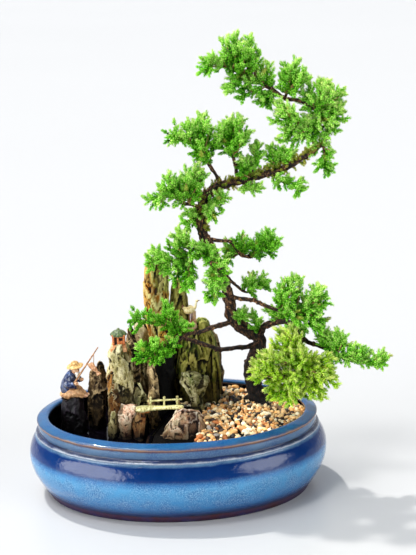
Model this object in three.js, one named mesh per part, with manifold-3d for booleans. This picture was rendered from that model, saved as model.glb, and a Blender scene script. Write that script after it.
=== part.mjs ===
// A juniper bonsai with its rocks and small figures in a blue oval land-and-water pot.
// Millimetres, +Z up. The origin is the middle of the pot's flat underside, +X runs to the right
// along the pot's length and +Y to the back.

import * as THREE from 'three';
import { mergeVertices } from 'three/addons/utils/BufferGeometryUtils.js';
import Module from 'manifold-3d';

const wasm = await Module();
wasm.setup();

// Driving dimensions

const POT_LENGTH = 300;
const POT_WIDTH = 212;
const POT_HEIGHT = 81;
const POT_SIDES = 28;
const FLOOR_TOP = 9;
const DAM_TOP = 68;
const DAM_THICKNESS = 7;
const WATER_TOP = 58;
const SOIL_TOP = 68;
const GRAVEL_BED = 1.6;
const DRAIN_RADIUS = 6;
const DRAIN_PLACES = [[48, 6], [98, 6]];
const GAP = 0.35;
const WALL_GAP = 0.8;

const PEBBLE_PITCH = 11;
const PEBBLE_HEIGHT = 5.5;

const CORE_RADIUS = 3;
const CORE_TIP_RADIUS = 1.6;
const STEM_RADIUS = 1.9;
const SHOOT_RADIUS = 1.7;
const KNOT_SIZE = 0.34;
const CORE_START = 3.4;
const FOLIAGE_CLEARANCE = 0.7;
const STUB_LENGTH = 12;
const STUB_RADIUS = 1.4;

// The pot's walls as [inset from the widest outline, height], up the outside and down the inside.

const POT_OUTSIDE = [
  [17.5, 0], [16, 4], [9.6, 14], [2, 29], [0, 42], [1.4, 52], [5, 60], [8.6, 64.4], [7.8, 66], [10.6, 68],
  [10.6, 75], [9.4, 78],
];
const POT_INSIDE = [[19, POT_HEIGHT], [21, 78], [10, 56], [15, 17], [31, FLOOR_TOP]];

// The dam's centre line across the pot, from the front wall to the back wall, as [x, y].

const DAM_LINE = [[-34, -110], [-28, -60], [-25, -30], [-13, 8], [-8, 42], [-4, 110]];

// The trunk's centre line from root to crown as [x, y, z, radius].

const TRUNK = [
  [84, 38, 56, 9.5], [84, 38, 68, 9.3], [82, 36, 80, 8], [79, 34, 94, 7.2], [77, 32, 110, 6.8],
  [81, 30, 126, 6.5], [86, 28, 138, 6.3], [83, 27, 147, 6.2], [75, 25, 153, 6], [65, 22, 160, 5.8],
  [59, 20, 170, 5.4], [56, 17, 190, 5], [53, 16, 204, 4.8], [49, 12, 222, 4.7], [43, 11, 236, 4.6],
  [35, 9, 252, 4.6], [31, 8, 266, 4.6], [31, 8, 281, 4.5], [36, 9, 295, 4.4], [46, 11, 304, 4.1],
  [62, 13, 308, 3.8], [82, 16, 312, 3.4], [99, 16, 316, 3.1], [114, 14, 321, 2.8], [130, 11, 330, 2.5],
  [144, 8, 340, 2.2], [152, 7, 347, 2],
];

// The woody branches as [x, y, z, radius]. Each starts inside the limb that carries it.

const BRANCHES = {
  crown: [
    [149, 8, 344, 2], [154, 5, 354, 2], [152, 4, 365, 1.9], [145, 5, 375, 1.8], [137, 7, 382, 1.8],
    [126, 10, 386, 1.8], [114, 12, 388, 1.7], [105, 12, 395, 1.7], [97, 12, 400, 1.6], [86, 11, 406, 1.4],
  ],
  low_left_front: [
    [60, 20, 166, 3], [48, 14, 164, 2.2], [37, 8, 163, 2], [26, 2, 161, 1.9], [16, -4, 162, 1.8],
    [3, -11, 156, 1.6], [-6, -17, 149, 1.4],
  ],
  low_left_back: [
    [84, 29, 137, 3.4], [74, 25, 136, 2.4], [65, 22, 137, 2.2], [55, 18, 137, 2.1], [45, 14, 138, 2],
    [36, 10, 143, 2], [26, 6, 148, 1.9], [16, 2, 153, 1.8], [9, -1, 158, 1.6], [-1, -5, 167, 1.4],
  ],
  right: [
    [56, 17, 192, 3], [66, 10, 192, 1.9], [76, 4, 192, 1.8], [83, 0, 191, 1.7], [90, -3, 188, 1.7],
    [99, -6, 185, 1.6], [109, -8, 182, 1.4],
  ],
  fork: [
    [84, 27, 146, 3.6], [90, 24, 156, 3.2], [96, 20, 161, 3], [104, 17, 164, 2.8], [114, 12, 165, 2.5],
    [120, 6, 160, 2.2], [129, -2, 150, 2], [142, -7, 146, 1.8], [154, -10, 140, 1.6], [165, -12, 135, 1.3],
  ],
  bush: [[125, 2, 154, 1.9], [126, -5, 147, 1.8], [124, -15, 135, 1.7], [121, -22, 128, 1.4]],
  centre: [[43, 11, 238, 2.4], [38, 0, 241, 1.5], [36, -8, 242, 1.3]],
  big_left: [[34, 9, 253, 2.2], [25, 4, 247, 1.5], [15, -2, 240, 1.3]],
  left: [[31, 8, 285, 2], [22, 2, 290, 1.3], [15, -2, 292, 1.2]],
  right_small: [
    [36, 9, 254, 2.2], [49, 16, 250, 1.6], [59, 19, 248, 1.5], [64, 20, 242, 1.5], [69, 22, 233, 1.4],
    [79, 24, 230, 1.2],
  ],
  right_thin: [[55, 16, 212, 1.8], [63, 12, 205, 1.2], [72, 11, 198, 1.1]],
  upper_left: [[52, 12, 306, 2.2], [45, 8, 320, 1.5], [38, 3, 332, 1.3]],
  upper_right: [[69, 14, 309, 2.2], [66, 10, 323, 1.5], [64, 7, 334, 1.3]],
  root_front: [[86, 36, 78, 4.5], [92, 22, 71, 3.4], [100, 8, 64, 1.8]],
  root_right: [[88, 38, 78, 4.5], [100, 34, 71, 3.4], [113, 34, 63, 1.8]],
  root_left: [[80, 38, 78, 4.5], [68, 42, 71, 3.2], [58, 50, 63, 1.6]],
};

// The leafy sprays. The spine starts on the wood and carries the twigs; each lobe is an even-sided
// mass of twig tips as [x, y, z, half length in x, in y, in z].

const SPRAYS = {
  crown_tip: {
    spine: [[102, 12, 397], [93, 12, 402], [82, 11, 408], [70, 9, 414], [56, 6, 421], [44, 4, 423]],
    lobes: [
      [71, 7, 431, 19, 18, 19], [43, 2, 422, 12, 11, 12], [70, 2, 399, 17, 10, 9], [94, 2, 386, 9, 6, 6],
      [97, 13, 409, 8, 10, 12],
    ],
  },
  crown_middle: {
    stub: true,
    spine: [[114, 12, 388], [119, 12, 398], [123, 12, 406]],
    lobes: [[123, 12, 407, 15, 14, 17]],
  },
  crown_right: {
    stub: true,
    spine: [[142, 5, 377], [150, 5, 384], [154, 6, 391]],
    lobes: [[148, 6, 389, 20, 20, 18], [161, 4, 370, 12, 14, 15]],
  },
  crown_inner: {
    stub: true,
    spine: [[153, 4, 361], [142, -2, 362], [131, -6, 366], [119, -8, 371]],
    lobes: [[112, -8, 376, 12, 12, 12], [118, -8, 355, 12, 10, 10], [139, -4, 359, 15, 10, 14]],
  },
  crown_hanging: {
    stub: true,
    spine: [[150, 7, 344], [151, 8, 334], [151, 8, 321]],
    lobes: [[149, 8, 330, 12, 12, 19]],
  },
  under_right: {
    stub: true,
    spine: [[99, 16, 316], [107, 10, 310], [118, 6, 305], [127, 4, 299]],
    lobes: [[118, 4, 305, 16, 8, 10]],
  },
  under_middle: {
    stub: true,
    spine: [[70, 14, 309], [76, 9, 305], [85, 8, 302]],
    lobes: [[83, 8, 303, 10, 6, 4]],
  },
  top_left: {
    stub: true,
    spine: [[80, 15, 312], [83, 12, 324], [86, 12, 336]],
    lobes: [[87, 12, 337, 6, 8, 13], [73, 5, 326, 10, 7, 7]],
  },
  top_right: {
    stub: true,
    spine: [[101, 16, 317], [105, 18, 325], [110, 18, 333]],
    lobes: [[102, 18, 333, 8, 8, 11], [117, 18, 333, 7, 8, 8]],
  },
  upper_left: {
    spine: [[42, 6, 326], [38, 3, 333], [30, 0, 345], [18, -3, 354], [6, -4, 358]],
    lobes: [[5, -4, 359, 10, 12, 11], [31, -2, 355, 16, 18, 21]],
  },
  upper_right: {
    spine: [[65, 9, 327], [63, 7, 339], [61, 6, 352]],
    lobes: [[63, 6, 354, 17, 18, 20]],
  },
  left: {
    spine: [[20, 1, 291], [15, -2, 292], [6, -6, 299], [-4, -8, 302], [-13, -11, 298]],
    lobes: [[3, -8, 311, 12, 13, 14], [25, -4, 315, 13, 14, 16], [-11, -12, 297, 11, 9, 8]],
  },
  tuft_left: {
    stub: true,
    spine: [[31, 8, 281], [25, 5, 278], [19, 4, 270]],
    lobes: [[20, 4, 274, 9, 9, 14]],
  },
  tuft_right: {
    stub: true,
    spine: [[34, 9, 290], [42, 4, 292], [51, 3, 296]],
    lobes: [[48, 3, 294, 12, 9, 9], [42, -3, 280, 6, 7, 8]],
  },
  big_left: {
    spine: [[20, 1, 243], [15, -2, 240], [5, -6, 238], [-6, -9, 237], [-16, -10, 236]],
    lobes: [[-14, -10, 238, 12, 14, 15], [6, -6, 251, 13, 14, 15], [11, -10, 221, 13, 14, 16]],
  },
  centre: {
    spine: [[38, 0, 241], [36, -9, 242], [40, -15, 233], [43, -18, 220], [43, -19, 208]],
    lobes: [[31, -14, 247, 13, 12, 12], [45, -15, 229, 13, 12, 12], [42, -19, 208, 13, 12, 14]],
  },
  right_small: {
    spine: [[72, 23, 232], [79, 24, 230], [88, 24, 235], [98, 24, 241]],
    lobes: [[95, 24, 241, 14, 14, 15], [71, 20, 247, 9, 8, 6]],
  },
  right_small_inner: {
    stub: true,
    spine: [[68, 22, 236], [62, 27, 231], [57, 29, 231]],
    lobes: [[57, 28, 233, 8, 7, 12]],
  },
  right_thin: {
    spine: [[69, 11, 200], [74, 11, 198], [80, 12, 201], [90, 12, 209]],
    lobes: [[84, 12, 205, 14, 11, 12]],
  },
  right_pad: {
    spine: [[104, -7, 184], [110, -8, 181], [121, -8, 183], [133, -7, 187], [144, -5, 191]],
    lobes: [
      [115, -8, 205, 11, 14, 16], [123, -8, 184, 18, 16, 13], [143, -4, 194, 13, 14, 14],
      [142, -6, 171, 10, 12, 12],
    ],
  },
  fork_pad: {
    stub: true,
    spine: [[112, 13, 165], [118, 17, 163], [123, 17, 157]],
    lobes: [[123, 14, 158, 10, 8, 9], [101, 25, 172, 9, 7, 6]],
  },
  far_right: {
    spine: [[160, -11, 137], [166, -12, 134], [175, -12, 130], [189, -12, 128], [206, -12, 128]],
    lobes: [
      [162, -10, 151, 11, 10, 14], [145, -6, 156, 5, 6, 8], [183, -12, 141, 11, 8, 8],
      [198, -12, 132, 14, 8, 9], [156, -14, 135, 8, 6, 5],
    ],
  },
  bush: {
    spine: [[124, -17, 133], [121, -23, 127], [111, -29, 121], [99, -32, 119]],
    lobes: [
      [110, -14, 155, 13, 14, 14], [119, -28, 138, 15, 14, 14], [144, -22, 133, 11, 9, 10],
      [87, -34, 133, 15, 15, 19], [145, -30, 117, 17, 12, 10], [134, -30, 103, 12, 9, 8],
      [95, -30, 107, 10, 10, 9], [113, -34, 101, 6, 7, 9], [116, -36, 120, 12, 11, 11],
    ],
  },
  low_left_back: {
    spine: [[6, -2, 161], [-1, -5, 167], [-14, -9, 175], [-28, -12, 179], [-40, -12, 179]],
    lobes: [[-31, -12, 181, 13, 12, 12], [-5, -8, 184, 8, 10, 12], [8, -5, 168, 10, 8, 9]],
  },
  low_left_front: {
    spine: [[0, -13, 154], [-6, -17, 149], [-16, -22, 145], [-27, -24, 148]],
    lobes: [[-22, -23, 151, 16, 12, 14], [-1, -18, 157, 5, 6, 6]],
  },
  shoot_high: {
    stub: true,
    spine: [[82, 26, 148], [82, 23, 158], [81, 22, 168]],
    lobes: [[81, 22, 165, 5, 5, 10]],
  },
  shoot_low: {
    stub: true,
    spine: [[62, 21, 163], [65, 17, 169], [68, 15, 173]],
    lobes: [[67, 15, 173, 5, 4, 4]],
  },
};

// The rocks as rings [x, y, z, half length in x, in y] from the foot up. Those left of the dam stand on
// the pot's floor, those right of it in the soil, and the slab at the back on the dam's top.

const ON_FLOOR = FLOOR_TOP - 1;
const ON_DAM = DAM_TOP - 1;
const IN_SOIL = 44;

const ROCKS = {
  tall_peak: {
    color: 0x9a9a62, sides: 10, seed: 3,
    rings: [
      [-16, 34, ON_FLOOR, 13, 12], [-16, 34, 90, 13, 12], [-14, 34, 130, 14, 12], [-15, 34, 160, 12, 11],
      [-18, 34, 186, 13, 12], [-15, 34, 216, 14, 11], [-14, 34, 227, 10, 8], [-13, 34, 232, 5, 5],
    ],
  },
  back_slab: {
    color: 0x3c3a26, sides: 9, seed: 5,
    rings: [
      [-2, 54, ON_DAM, 12, 9], [-2, 53, 120, 12, 9], [2, 48, 150, 12, 10], [6, 43, 175, 10, 10],
      [5, 40, 196, 8, 8], [3, 38, 208, 4, 4],
    ],
  },
  right_rock: {
    color: 0x6b7346, sides: 11, seed: 8,
    rings: [
      [24, 45, IN_SOIL, 20, 15], [24, 45, 74, 21, 15], [24, 44, 100, 23, 15], [24, 44, 125, 23, 15],
      [23, 44, 143, 20, 14], [22, 44, 152, 15, 11], [26, 44, 158, 9, 8], [27, 44, 161, 4, 4],
    ],
  },
  right_rock_back: {
    color: 0x6a4a32, sides: 8, seed: 11,
    rings: [
      [38, 60, IN_SOIL, 12, 9], [38, 60, 90, 12, 9], [37, 59, 122, 12, 9], [33, 58, 142, 9, 8],
      [30, 57, 153, 5, 5],
    ],
  },
  boot_stone: {
    color: 0x7d7c52, sides: 9, seed: 13,
    rings: [
      [20, 20, 56, 7, 7], [20, 20, 74, 7, 7], [20, 20, 92, 8.5, 7.5], [20, 21, 98, 9.5, 8],
      [19, 21, 101, 13.5, 9], [18, 22, 107, 13, 8], [16, 23, 112, 6, 4],
    ],
  },
  left_pillar: {
    color: 0xa3a184, sides: 9, seed: 17,
    rings: [
      [-61, 4, ON_FLOOR, 11, 11], [-59, 4, 70, 11, 11], [-56, 4, 95, 13, 12], [-55, 4, 122, 14, 12],
      [-55, 4, 138, 12, 11], [-55, 4, 147, 9, 8],
    ],
  },
  small_left: {
    color: 0x6f6044, sides: 8, seed: 19,
    rings: [
      [-82, 18, ON_FLOOR, 9, 9], [-82, 18, 80, 10, 9], [-80, 18, 100, 11, 9], [-77, 18, 116, 8, 7],
      [-76, 18, 129, 3, 3],
    ],
  },
  seat_rock: {
    color: 0x2c1f2b, sides: 8, seed: 23,
    rings: [
      [-104, 8, ON_FLOOR, 15, 12], [-106, 8, 60, 14, 12], [-105, 8, 86, 13, 12], [-105, 8, 96, 12, 11],
    ],
  },
  brown_back: {
    color: 0x4a3527, sides: 7, seed: 29,
    rings: [[-44, 32, ON_FLOOR, 8, 9], [-44, 32, 130, 8, 8], [-45, 32, 150, 7, 7], [-45, 32, 158, 4, 4]],
  },
  cream_back: {
    color: 0xb9a58e, sides: 7, seed: 31,
    rings: [[-36, 52, ON_FLOOR, 9, 8], [-35, 52, 130, 9, 8], [-34, 50, 152, 8, 7], [-34, 50, 161, 5, 4]],
  },
  middle_left: {
    color: 0x77704f, sides: 7, seed: 37,
    rings: [[-37, 8, ON_FLOOR, 6, 7], [-37, 8, 84, 7, 7], [-37, 8, 100, 6.5, 6], [-36, 9, 108, 3, 3]],
  },
  middle_right: {
    color: 0x8a7a5a, sides: 7, seed: 41,
    rings: [[-23, 10, ON_FLOOR, 5, 6], [-23, 10, 100, 5, 6], [-24, 11, 120, 5, 5], [-24, 11, 128, 2.5, 3]],
  },
  middle_front: {
    color: 0x80704c, sides: 7, seed: 43,
    rings: [[-25, -4, ON_FLOOR, 5, 5], [-24, -4, 88, 6, 5], [-23, -3, 99, 6, 5], [-23, -3, 106, 3, 3]],
  },
  flat_pink: {
    color: 0xb08f84, sides: 7, seed: 47,
    rings: [
      [-53, -15, ON_FLOOR, 6, 6], [-51, -15, 72, 7, 6], [-49, -14, 83, 9, 6], [-47, -13, 88, 12, 6.5],
      [-46, -12, 92, 9, 5],
    ],
  },
  post_stone: {
    color: 0xa9713f, sides: 7, seed: 53,
    rings: [
      [-38, -19, ON_FLOOR, 6, 5], [-37, -19, 68, 6.5, 5], [-36, -18, 80, 6.5, 5], [-36, -17, 86, 5, 4.5],
    ],
  },
  thin_left: {
    color: 0x6d6246, sides: 6, seed: 59,
    rings: [[-66, -15, ON_FLOOR, 5, 5], [-65, -15, 66, 5.5, 5], [-64, -14, 78, 4.5, 4], [-63, -13, 87, 2, 2]],
  },
  bridge_stone: {
    color: 0x8c6a5c, sides: 10, seed: 61,
    rings: [
      [5, -34, 54, 20, 14], [6, -34, 66, 23, 15], [8, -33, 76, 22, 14], [10, -30, 85, 16, 12],
      [10, -27, 90, 9, 8],
    ],
  },
};

// The small fired figures and the bridge

const BRIDGE = {
  left: -40, right: 7, y: -18, deckTop: 91.5, thickness: 2.6, depth: 8, rail: 97.2, posts: [-25.5, -12, 1],
};
const HOUSE = {
  x: -55, y: 4, foot: 145, baseTop: 151.5, wallTop: 160.8, roofTop: 168.5, width: 12.6, roofRadius: 7.8,
};
const MAN = { x: -104, y: 8, seat: 95 };
const HAT = [[7.4, 33], [7.8, 34.2], [4.2, 35.6], [2.8, 38]];
const ROD = {
  butt: [-106, -1, 106], tip: [-76, 4, 148], radius: 0.9,
  lineFrom: [-80.5, 3.2, 141.7], lineTo: [-81.5, 4, 127.6],
};
const FISH = { x: -82, y: 4, z: 126.5, length: 12, radius: 2.6 };
const CRANE = { x: 16, y: 37, foot: 153, baseTop: 161, stumpTop: 171 };

// Small helpers

// Returns a repeatable source of numbers from 0 to 1.
function randomFrom(seed) {
  let state = seed >>> 0;
  return () => {
    state = (state + 0x6d2b79f5) >>> 0;
    let mixed = Math.imul(state ^ (state >>> 15), state | 1);
    mixed ^= mixed + Math.imul(mixed ^ (mixed >>> 7), mixed | 61);
    return ((mixed ^ (mixed >>> 14)) >>> 0) / 4294967296;
  };
}

function vector(point) {
  return new THREE.Vector3(point[0], point[1], point[2]);
}

// Turns a closed geometry into a solid that can be joined and cut.
function solidOf(geometry) {
  const bare = geometry.clone();
  bare.deleteAttribute('normal');
  bare.deleteAttribute('uv');
  const merged = mergeVertices(bare, 1e-3);
  const index = merged.index.array;
  const triangles = [];
  for (let i = 0; i < index.length; i += 3) {
    const [a, b, c] = [index[i], index[i + 1], index[i + 2]];
    if (a !== b && b !== c && c !== a) triangles.push(a, b, c);
  }
  return new wasm.Manifold(new wasm.Mesh({
    numProp: 3,
    vertProperties: new Float32Array(merged.attributes.position.array),
    triVerts: new Uint32Array(triangles),
  }));
}

// Turns a solid back into a geometry, keeping only its largest body so that no loose scrap stays.
function geometryOf(solid) {
  const mesh = solid.getMesh();
  const geometry = new THREE.BufferGeometry();
  geometry.setAttribute('position', new THREE.BufferAttribute(new Float32Array(mesh.vertProperties), 3));
  geometry.setIndex(largestBody(Array.from(mesh.triVerts), mesh.vertProperties.length / 3));
  geometry.computeVertexNormals();
  return geometry;
}

function largestBody(triangles, vertexCount) {
  const parent = Array.from({ length: vertexCount }, (_, i) => i);
  const find = (i) => {
    while (parent[i] !== i) i = parent[i] = parent[parent[i]];
    return i;
  };
  for (let i = 0; i < triangles.length; i += 3) {
    parent[find(triangles[i + 1])] = find(triangles[i]);
    parent[find(triangles[i + 2])] = find(triangles[i]);
  }
  const counts = new Map();
  for (let i = 0; i < triangles.length; i += 3) {
    const body = find(triangles[i]);
    counts.set(body, (counts.get(body) ?? 0) + 1);
  }
  const largest = [...counts].sort((a, b) => b[1] - a[1])[0][0];
  const kept = [];
  for (let i = 0; i < triangles.length; i += 3) {
    if (find(triangles[i]) === largest) kept.push(triangles[i], triangles[i + 1], triangles[i + 2]);
  }
  return kept;
}

function joined(solids) {
  let level = solids;
  while (level.length > 1) {
    const next = [];
    for (let i = 0; i < level.length; i += 2) {
      next.push(i + 1 < level.length ? level[i].add(level[i + 1]) : level[i]);
    }
    level = next;
  }
  return level[0];
}

// A closed body of `rows` rings with `sides` corners each: place(row, angle) gives each corner and
// middle(row) the point that closes each end.
function ringBody(rows, sides, place, middle) {
  const profile = [new THREE.Vector2(0, 0)];
  for (let row = 0; row < rows; row++) profile.push(new THREE.Vector2(1, row));
  profile.push(new THREE.Vector2(0, rows - 1));
  const geometry = new THREE.LatheGeometry(profile, sides);
  const position = geometry.attributes.position;
  for (let i = 0; i < position.count; i++) {
    const angle = (Math.floor(i / profile.length) % sides) * (2 * Math.PI / sides);
    const step = i % profile.length;
    const closing = step === 0 || step === rows + 1;
    const row = Math.min(Math.max(step - 1, 0), rows - 1);
    const point = closing ? middle(row) : place(row, angle);
    position.setXYZ(i, point.x, point.y, point.z);
  }
  return solidOf(geometry);
}

// A round limb along a smooth curve through points [x, y, z, radius], closed at both ends.
function limb(points, sides, spacing, grow = 0) {
  const curve = new THREE.CatmullRomCurve3(points.map(vector), false, 'centripetal');
  const rows = Math.max(2, Math.round(curve.getLength() / spacing) + 1);
  const centres = [];
  const frames = [];
  let side = null;
  for (let row = 0; row < rows; row++) {
    const t = row / (rows - 1);
    const tangent = curve.getTangent(t);
    side ??= new THREE.Vector3(0, 0, 1).cross(tangent).lengthSq() > 0.05
      ? new THREE.Vector3(0, 0, 1) : new THREE.Vector3(1, 0, 0);
    side = side.clone().addScaledVector(tangent, -side.dot(tangent)).normalize();
    centres.push(curve.getPoint(t).addScaledVector(tangent, row === 0 ? -grow : row === rows - 1 ? grow : 0));
    frames.push([side, tangent.clone().cross(side)]);
  }
  const radiusAt = (row) => {
    const reach = row / (rows - 1) * (points.length - 1);
    const from = Math.min(Math.floor(reach), points.length - 2);
    return THREE.MathUtils.lerp(points[from][3], points[from + 1][3], reach - from) + grow;
  };
  const place = (row, angle) => centres[row].clone()
    .addScaledVector(frames[row][0], Math.cos(angle) * radiusAt(row))
    .addScaledVector(frames[row][1], Math.sin(angle) * radiusAt(row));
  return ringBody(rows, sides, place, (row) => centres[row]);
}

function ball(x, y, z, rx, ry, rz, widthSides = 8, heightSides = 5) {
  const sphere = new THREE.SphereGeometry(1, widthSides, heightSides);
  sphere.rotateX(Math.PI / 2);
  sphere.scale(rx, ry, rz);
  sphere.translate(x, y, z);
  return solidOf(sphere);
}

function block(x, y, z, length, width, height) {
  const box = new THREE.BoxGeometry(length, width, height);
  box.translate(x, y, z);
  return solidOf(box);
}

// A part with the given outline in x and z, as deep as `depth` about the middle `y`.
function sideProfile(outline, y, depth) {
  const shape = new THREE.Shape(outline.map(([x, z]) => new THREE.Vector2(x, z)));
  const extruded = new THREE.ExtrudeGeometry(shape, { depth, bevelEnabled: false });
  extruded.rotateX(Math.PI / 2);
  extruded.translate(0, y + depth / 2, 0);
  return solidOf(extruded);
}

// The pot

// An oval body from rows [inset, z], which closes at the middle below and above.
function ovalBody(rows) {
  const place = (row, angle) => {
    const [inset, z] = rows[row];
    const [a, b] = [POT_LENGTH / 2 - inset, POT_WIDTH / 2 - inset];
    return new THREE.Vector3(a * Math.cos(angle), b * Math.sin(angle), z);
  };
  return ringBody(rows.length, POT_SIDES, place, (row) => new THREE.Vector3(0, 0, rows[row][1]));
}

function insideInset(z) {
  const rows = [...POT_INSIDE].reverse();
  const above = Math.max(1, rows.findIndex((row) => row[1] >= z));
  const [low, high] = [rows[above - 1], rows[above]];
  return THREE.MathUtils.lerp(low[0], high[0], (z - low[1]) / (high[1] - low[1]));
}

// What fills the inside of the pot from one height to another, smaller all round by `shrink`.
function cavity(shrink, bottom, top) {
  const between = POT_INSIDE.map((row) => row[1]).filter((z) => z > bottom + 1 && z < top - 1).reverse();
  const inset = (z) => insideInset(Math.max(z, FLOOR_TOP + 0.01)) + shrink;
  return ovalBody([bottom, ...between, top].map((z) => [inset(z), z]));
}

// The region beside the dam's centre line, moved by `offset`, as a tall block.
function besideDam(offset, side) {
  const line = new THREE.SplineCurve(DAM_LINE.map(([x, y]) => new THREE.Vector2(x + offset, y))).getPoints(8);
  const corners = [line[8].y, line[0].y].map((y) => new THREE.Vector2(side * POT_LENGTH, y));
  const outline = [...line, ...corners];
  if (side > 0) outline.reverse();
  const extent = { depth: POT_HEIGHT + 20, bevelEnabled: false };
  const region = new THREE.ExtrudeGeometry(new THREE.Shape(outline), extent);
  region.translate(0, 0, -5);
  return solidOf(region);
}

// The walls, floor and dam, thicker on the inside by `grow`.
function potShell(grow = 0) {
  const inside = POT_INSIDE.map(([inset, z]) => [inset + grow, z === FLOOR_TOP ? z + grow : z]);
  const dam = cavity(-3, 6, DAM_TOP + grow)
    .intersect(besideDam(-DAM_THICKNESS / 2 - grow, 1))
    .intersect(besideDam(DAM_THICKNESS / 2 + grow, -1));
  return ovalBody([...POT_OUTSIDE, ...inside]).add(dam);
}

function pot() {
  const drains = DRAIN_PLACES.map(([x, y]) => (
    limb([[x, y, -2, DRAIN_RADIUS], [x, y, FLOOR_TOP + 2, DRAIN_RADIUS]], 8, 20)
  ));
  return potShell().subtract(joined(drains));
}

function water(cutter) {
  const pool = cavity(WALL_GAP, FLOOR_TOP + GAP, WATER_TOP);
  return pool.intersect(besideDam(-DAM_THICKNESS / 2 - GAP, -1)).subtract(cutter);
}

function soil(cutter) {
  const filling = cavity(WALL_GAP, FLOOR_TOP + GAP, SOIL_TOP);
  return filling.intersect(besideDam(DAM_THICKNESS / 2 + GAP, 1)).subtract(cutter);
}

// A bed of coarse pebbles, larger than life, that covers the soil and the dam's top: a plate whose upper
// face rises and falls from one pebble to the next.
function gravel(cutter) {
  const random = randomFrom(71);
  const bottom = SOIL_TOP + GAP;
  const [columns, rows] = [POT_LENGTH, POT_WIDTH].map((length) => Math.round(length / PEBBLE_PITCH));
  const plate = new THREE.BoxGeometry(POT_LENGTH, POT_WIDTH, 2, columns, rows, 1);
  const position = plate.attributes.position;
  const heights = new Map();
  for (let i = 0; i < position.count; i++) {
    const [column, row] = [position.getX(i) / PEBBLE_PITCH, position.getY(i) / PEBBLE_PITCH].map(Math.round);
    const key = `${column},${row}`;
    if (!heights.has(key)) heights.set(key, [random(), random() - 0.5, random() - 0.5]);
    const [lift, aside, ahead] = heights.get(key);
    const high = (column + row) % 2 ? 0.25 : 0.75;
    if (position.getZ(i) < 0) {
      position.setZ(i, bottom - 5);
      continue;
    }
    const top = bottom + GRAVEL_BED + PEBBLE_HEIGHT * (high + 0.25 * lift);
    position.setXYZ(i, position.getX(i) + aside * 3, position.getY(i) + ahead * 3, top);
  }
  const inside = cavity(GAP, bottom, POT_HEIGHT).intersect(besideDam(-DAM_THICKNESS / 2, 1));
  return solidOf(plate).intersect(inside).subtract(cutter);
}

// The rocks

// A ridged stone through its rings, larger all round by `grow`.
function rock({ rings, sides, seed }, grow = 0) {
  const random = randomFrom(seed);
  const ridges = Array.from({ length: sides }, () => 0.88 + 0.2 * random());
  const chips = rings.map(() => Array.from({ length: sides }, () => 0.96 + 0.08 * random()));
  const place = (row, angle) => {
    const [x, y, z, a, b] = rings[row];
    const corner = Math.round(angle / (2 * Math.PI) * sides);
    const [length, width] = [a, b].map((half) => half * ridges[corner] * chips[row][corner] + grow);
    const lift = row === 0 ? -grow : row === rings.length - 1 ? grow : 0;
    return new THREE.Vector3(x + Math.cos(angle) * length, y + Math.sin(angle) * width, z + lift);
  };
  const middle = (row) => vector(rings[row]).add(new THREE.Vector3(0, 0, row ? grow : -grow));
  return ringBody(rings.length, sides, place, middle);
}

// True where a point is inside a rock or closer to it than `margin`.
function nearRock({ rings }, point, margin) {
  const above = rings.findIndex((ring) => ring[2] >= point.z - margin);
  if (above < 0) return false;
  const [low, high] = [rings[Math.max(above - 1, 0)], rings[above]];
  const t = THREE.MathUtils.clamp((point.z - low[2]) / Math.max(high[2] - low[2], 1), 0, 1);
  const [x, y, , a, b] = low.map((value, i) => THREE.MathUtils.lerp(value, high[i], t));
  return ((point.x - x) / (a + margin)) ** 2 + ((point.y - y) / (b + margin)) ** 2 < 1;
}

// The small figures

function bridge() {
  const { left, right, y, deckTop, thickness, depth, rail, posts } = BRIDGE;
  const under = deckTop - thickness;
  const deck = sideProfile([
    [left, under + 0.8], [left + 2, under - 2], [left + 9, under - 4.5], [left + 15, under - 2.5],
    [left + 21, under], [right - 6, under - 0.3], [right - 4, under - 1.6], [right, under - 1.2],
    [right, deckTop - 1], [right - 6, deckTop], [left + 20, deckTop], [left, deckTop - 0.2],
  ], y, depth);
  const back = y + depth / 2 - 1.5;
  const rails = posts.map((x) => limb([[x, back, under + 0.5, 1.1], [x + 0.4, back, rail + 3, 1.1]], 4, 20));
  rails.push(limb([[posts[0] - 3, back, rail - 0.4, 0.9], [posts[2] + 5, back, rail + 0.3, 0.9]], 4, 20));
  return joined([deck, ...rails]);
}

function house() {
  const { x, y, foot, baseTop, wallTop, roofTop, width, roofRadius } = HOUSE;
  const base = block(x, y, (foot + baseTop) / 2, width + 2, width + 1, baseTop - foot);
  const walls = block(x, y, (baseTop + wallTop) / 2, width, width - 1, wallTop - baseTop + 1);
  const ribs = 10;
  const rows = [[0.86, 0], [1, 0.12], [0.88, 0.5], [0.5, 0.88], [0.12, 1]];
  const roof = ringBody(rows.length, ribs, (row, angle) => {
    const rib = 1 - 0.07 * (Math.round(angle / (2 * Math.PI) * ribs) % 2);
    const radius = roofRadius * rows[row][0] * rib;
    return new THREE.Vector3(
      x + radius * Math.cos(angle), y + radius * Math.sin(angle),
      wallTop - 0.6 + (roofTop - wallTop + 0.6) * rows[row][1],
    );
  }, (row) => new THREE.Vector3(x, y, wallTop - 0.6 + (roofTop - wallTop + 0.6) * rows[row][1]));
  const front = y - width / 2 + 0.5;
  const door = block(x - 3, front, baseTop + 4.2, 2.6, 3, 7.2);
  const window = block(x + 2.6, front, baseTop + 5.4, 2.6, 3, 2.8);
  return joined([base, walls, roof]).subtract(door).subtract(window);
}

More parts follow.
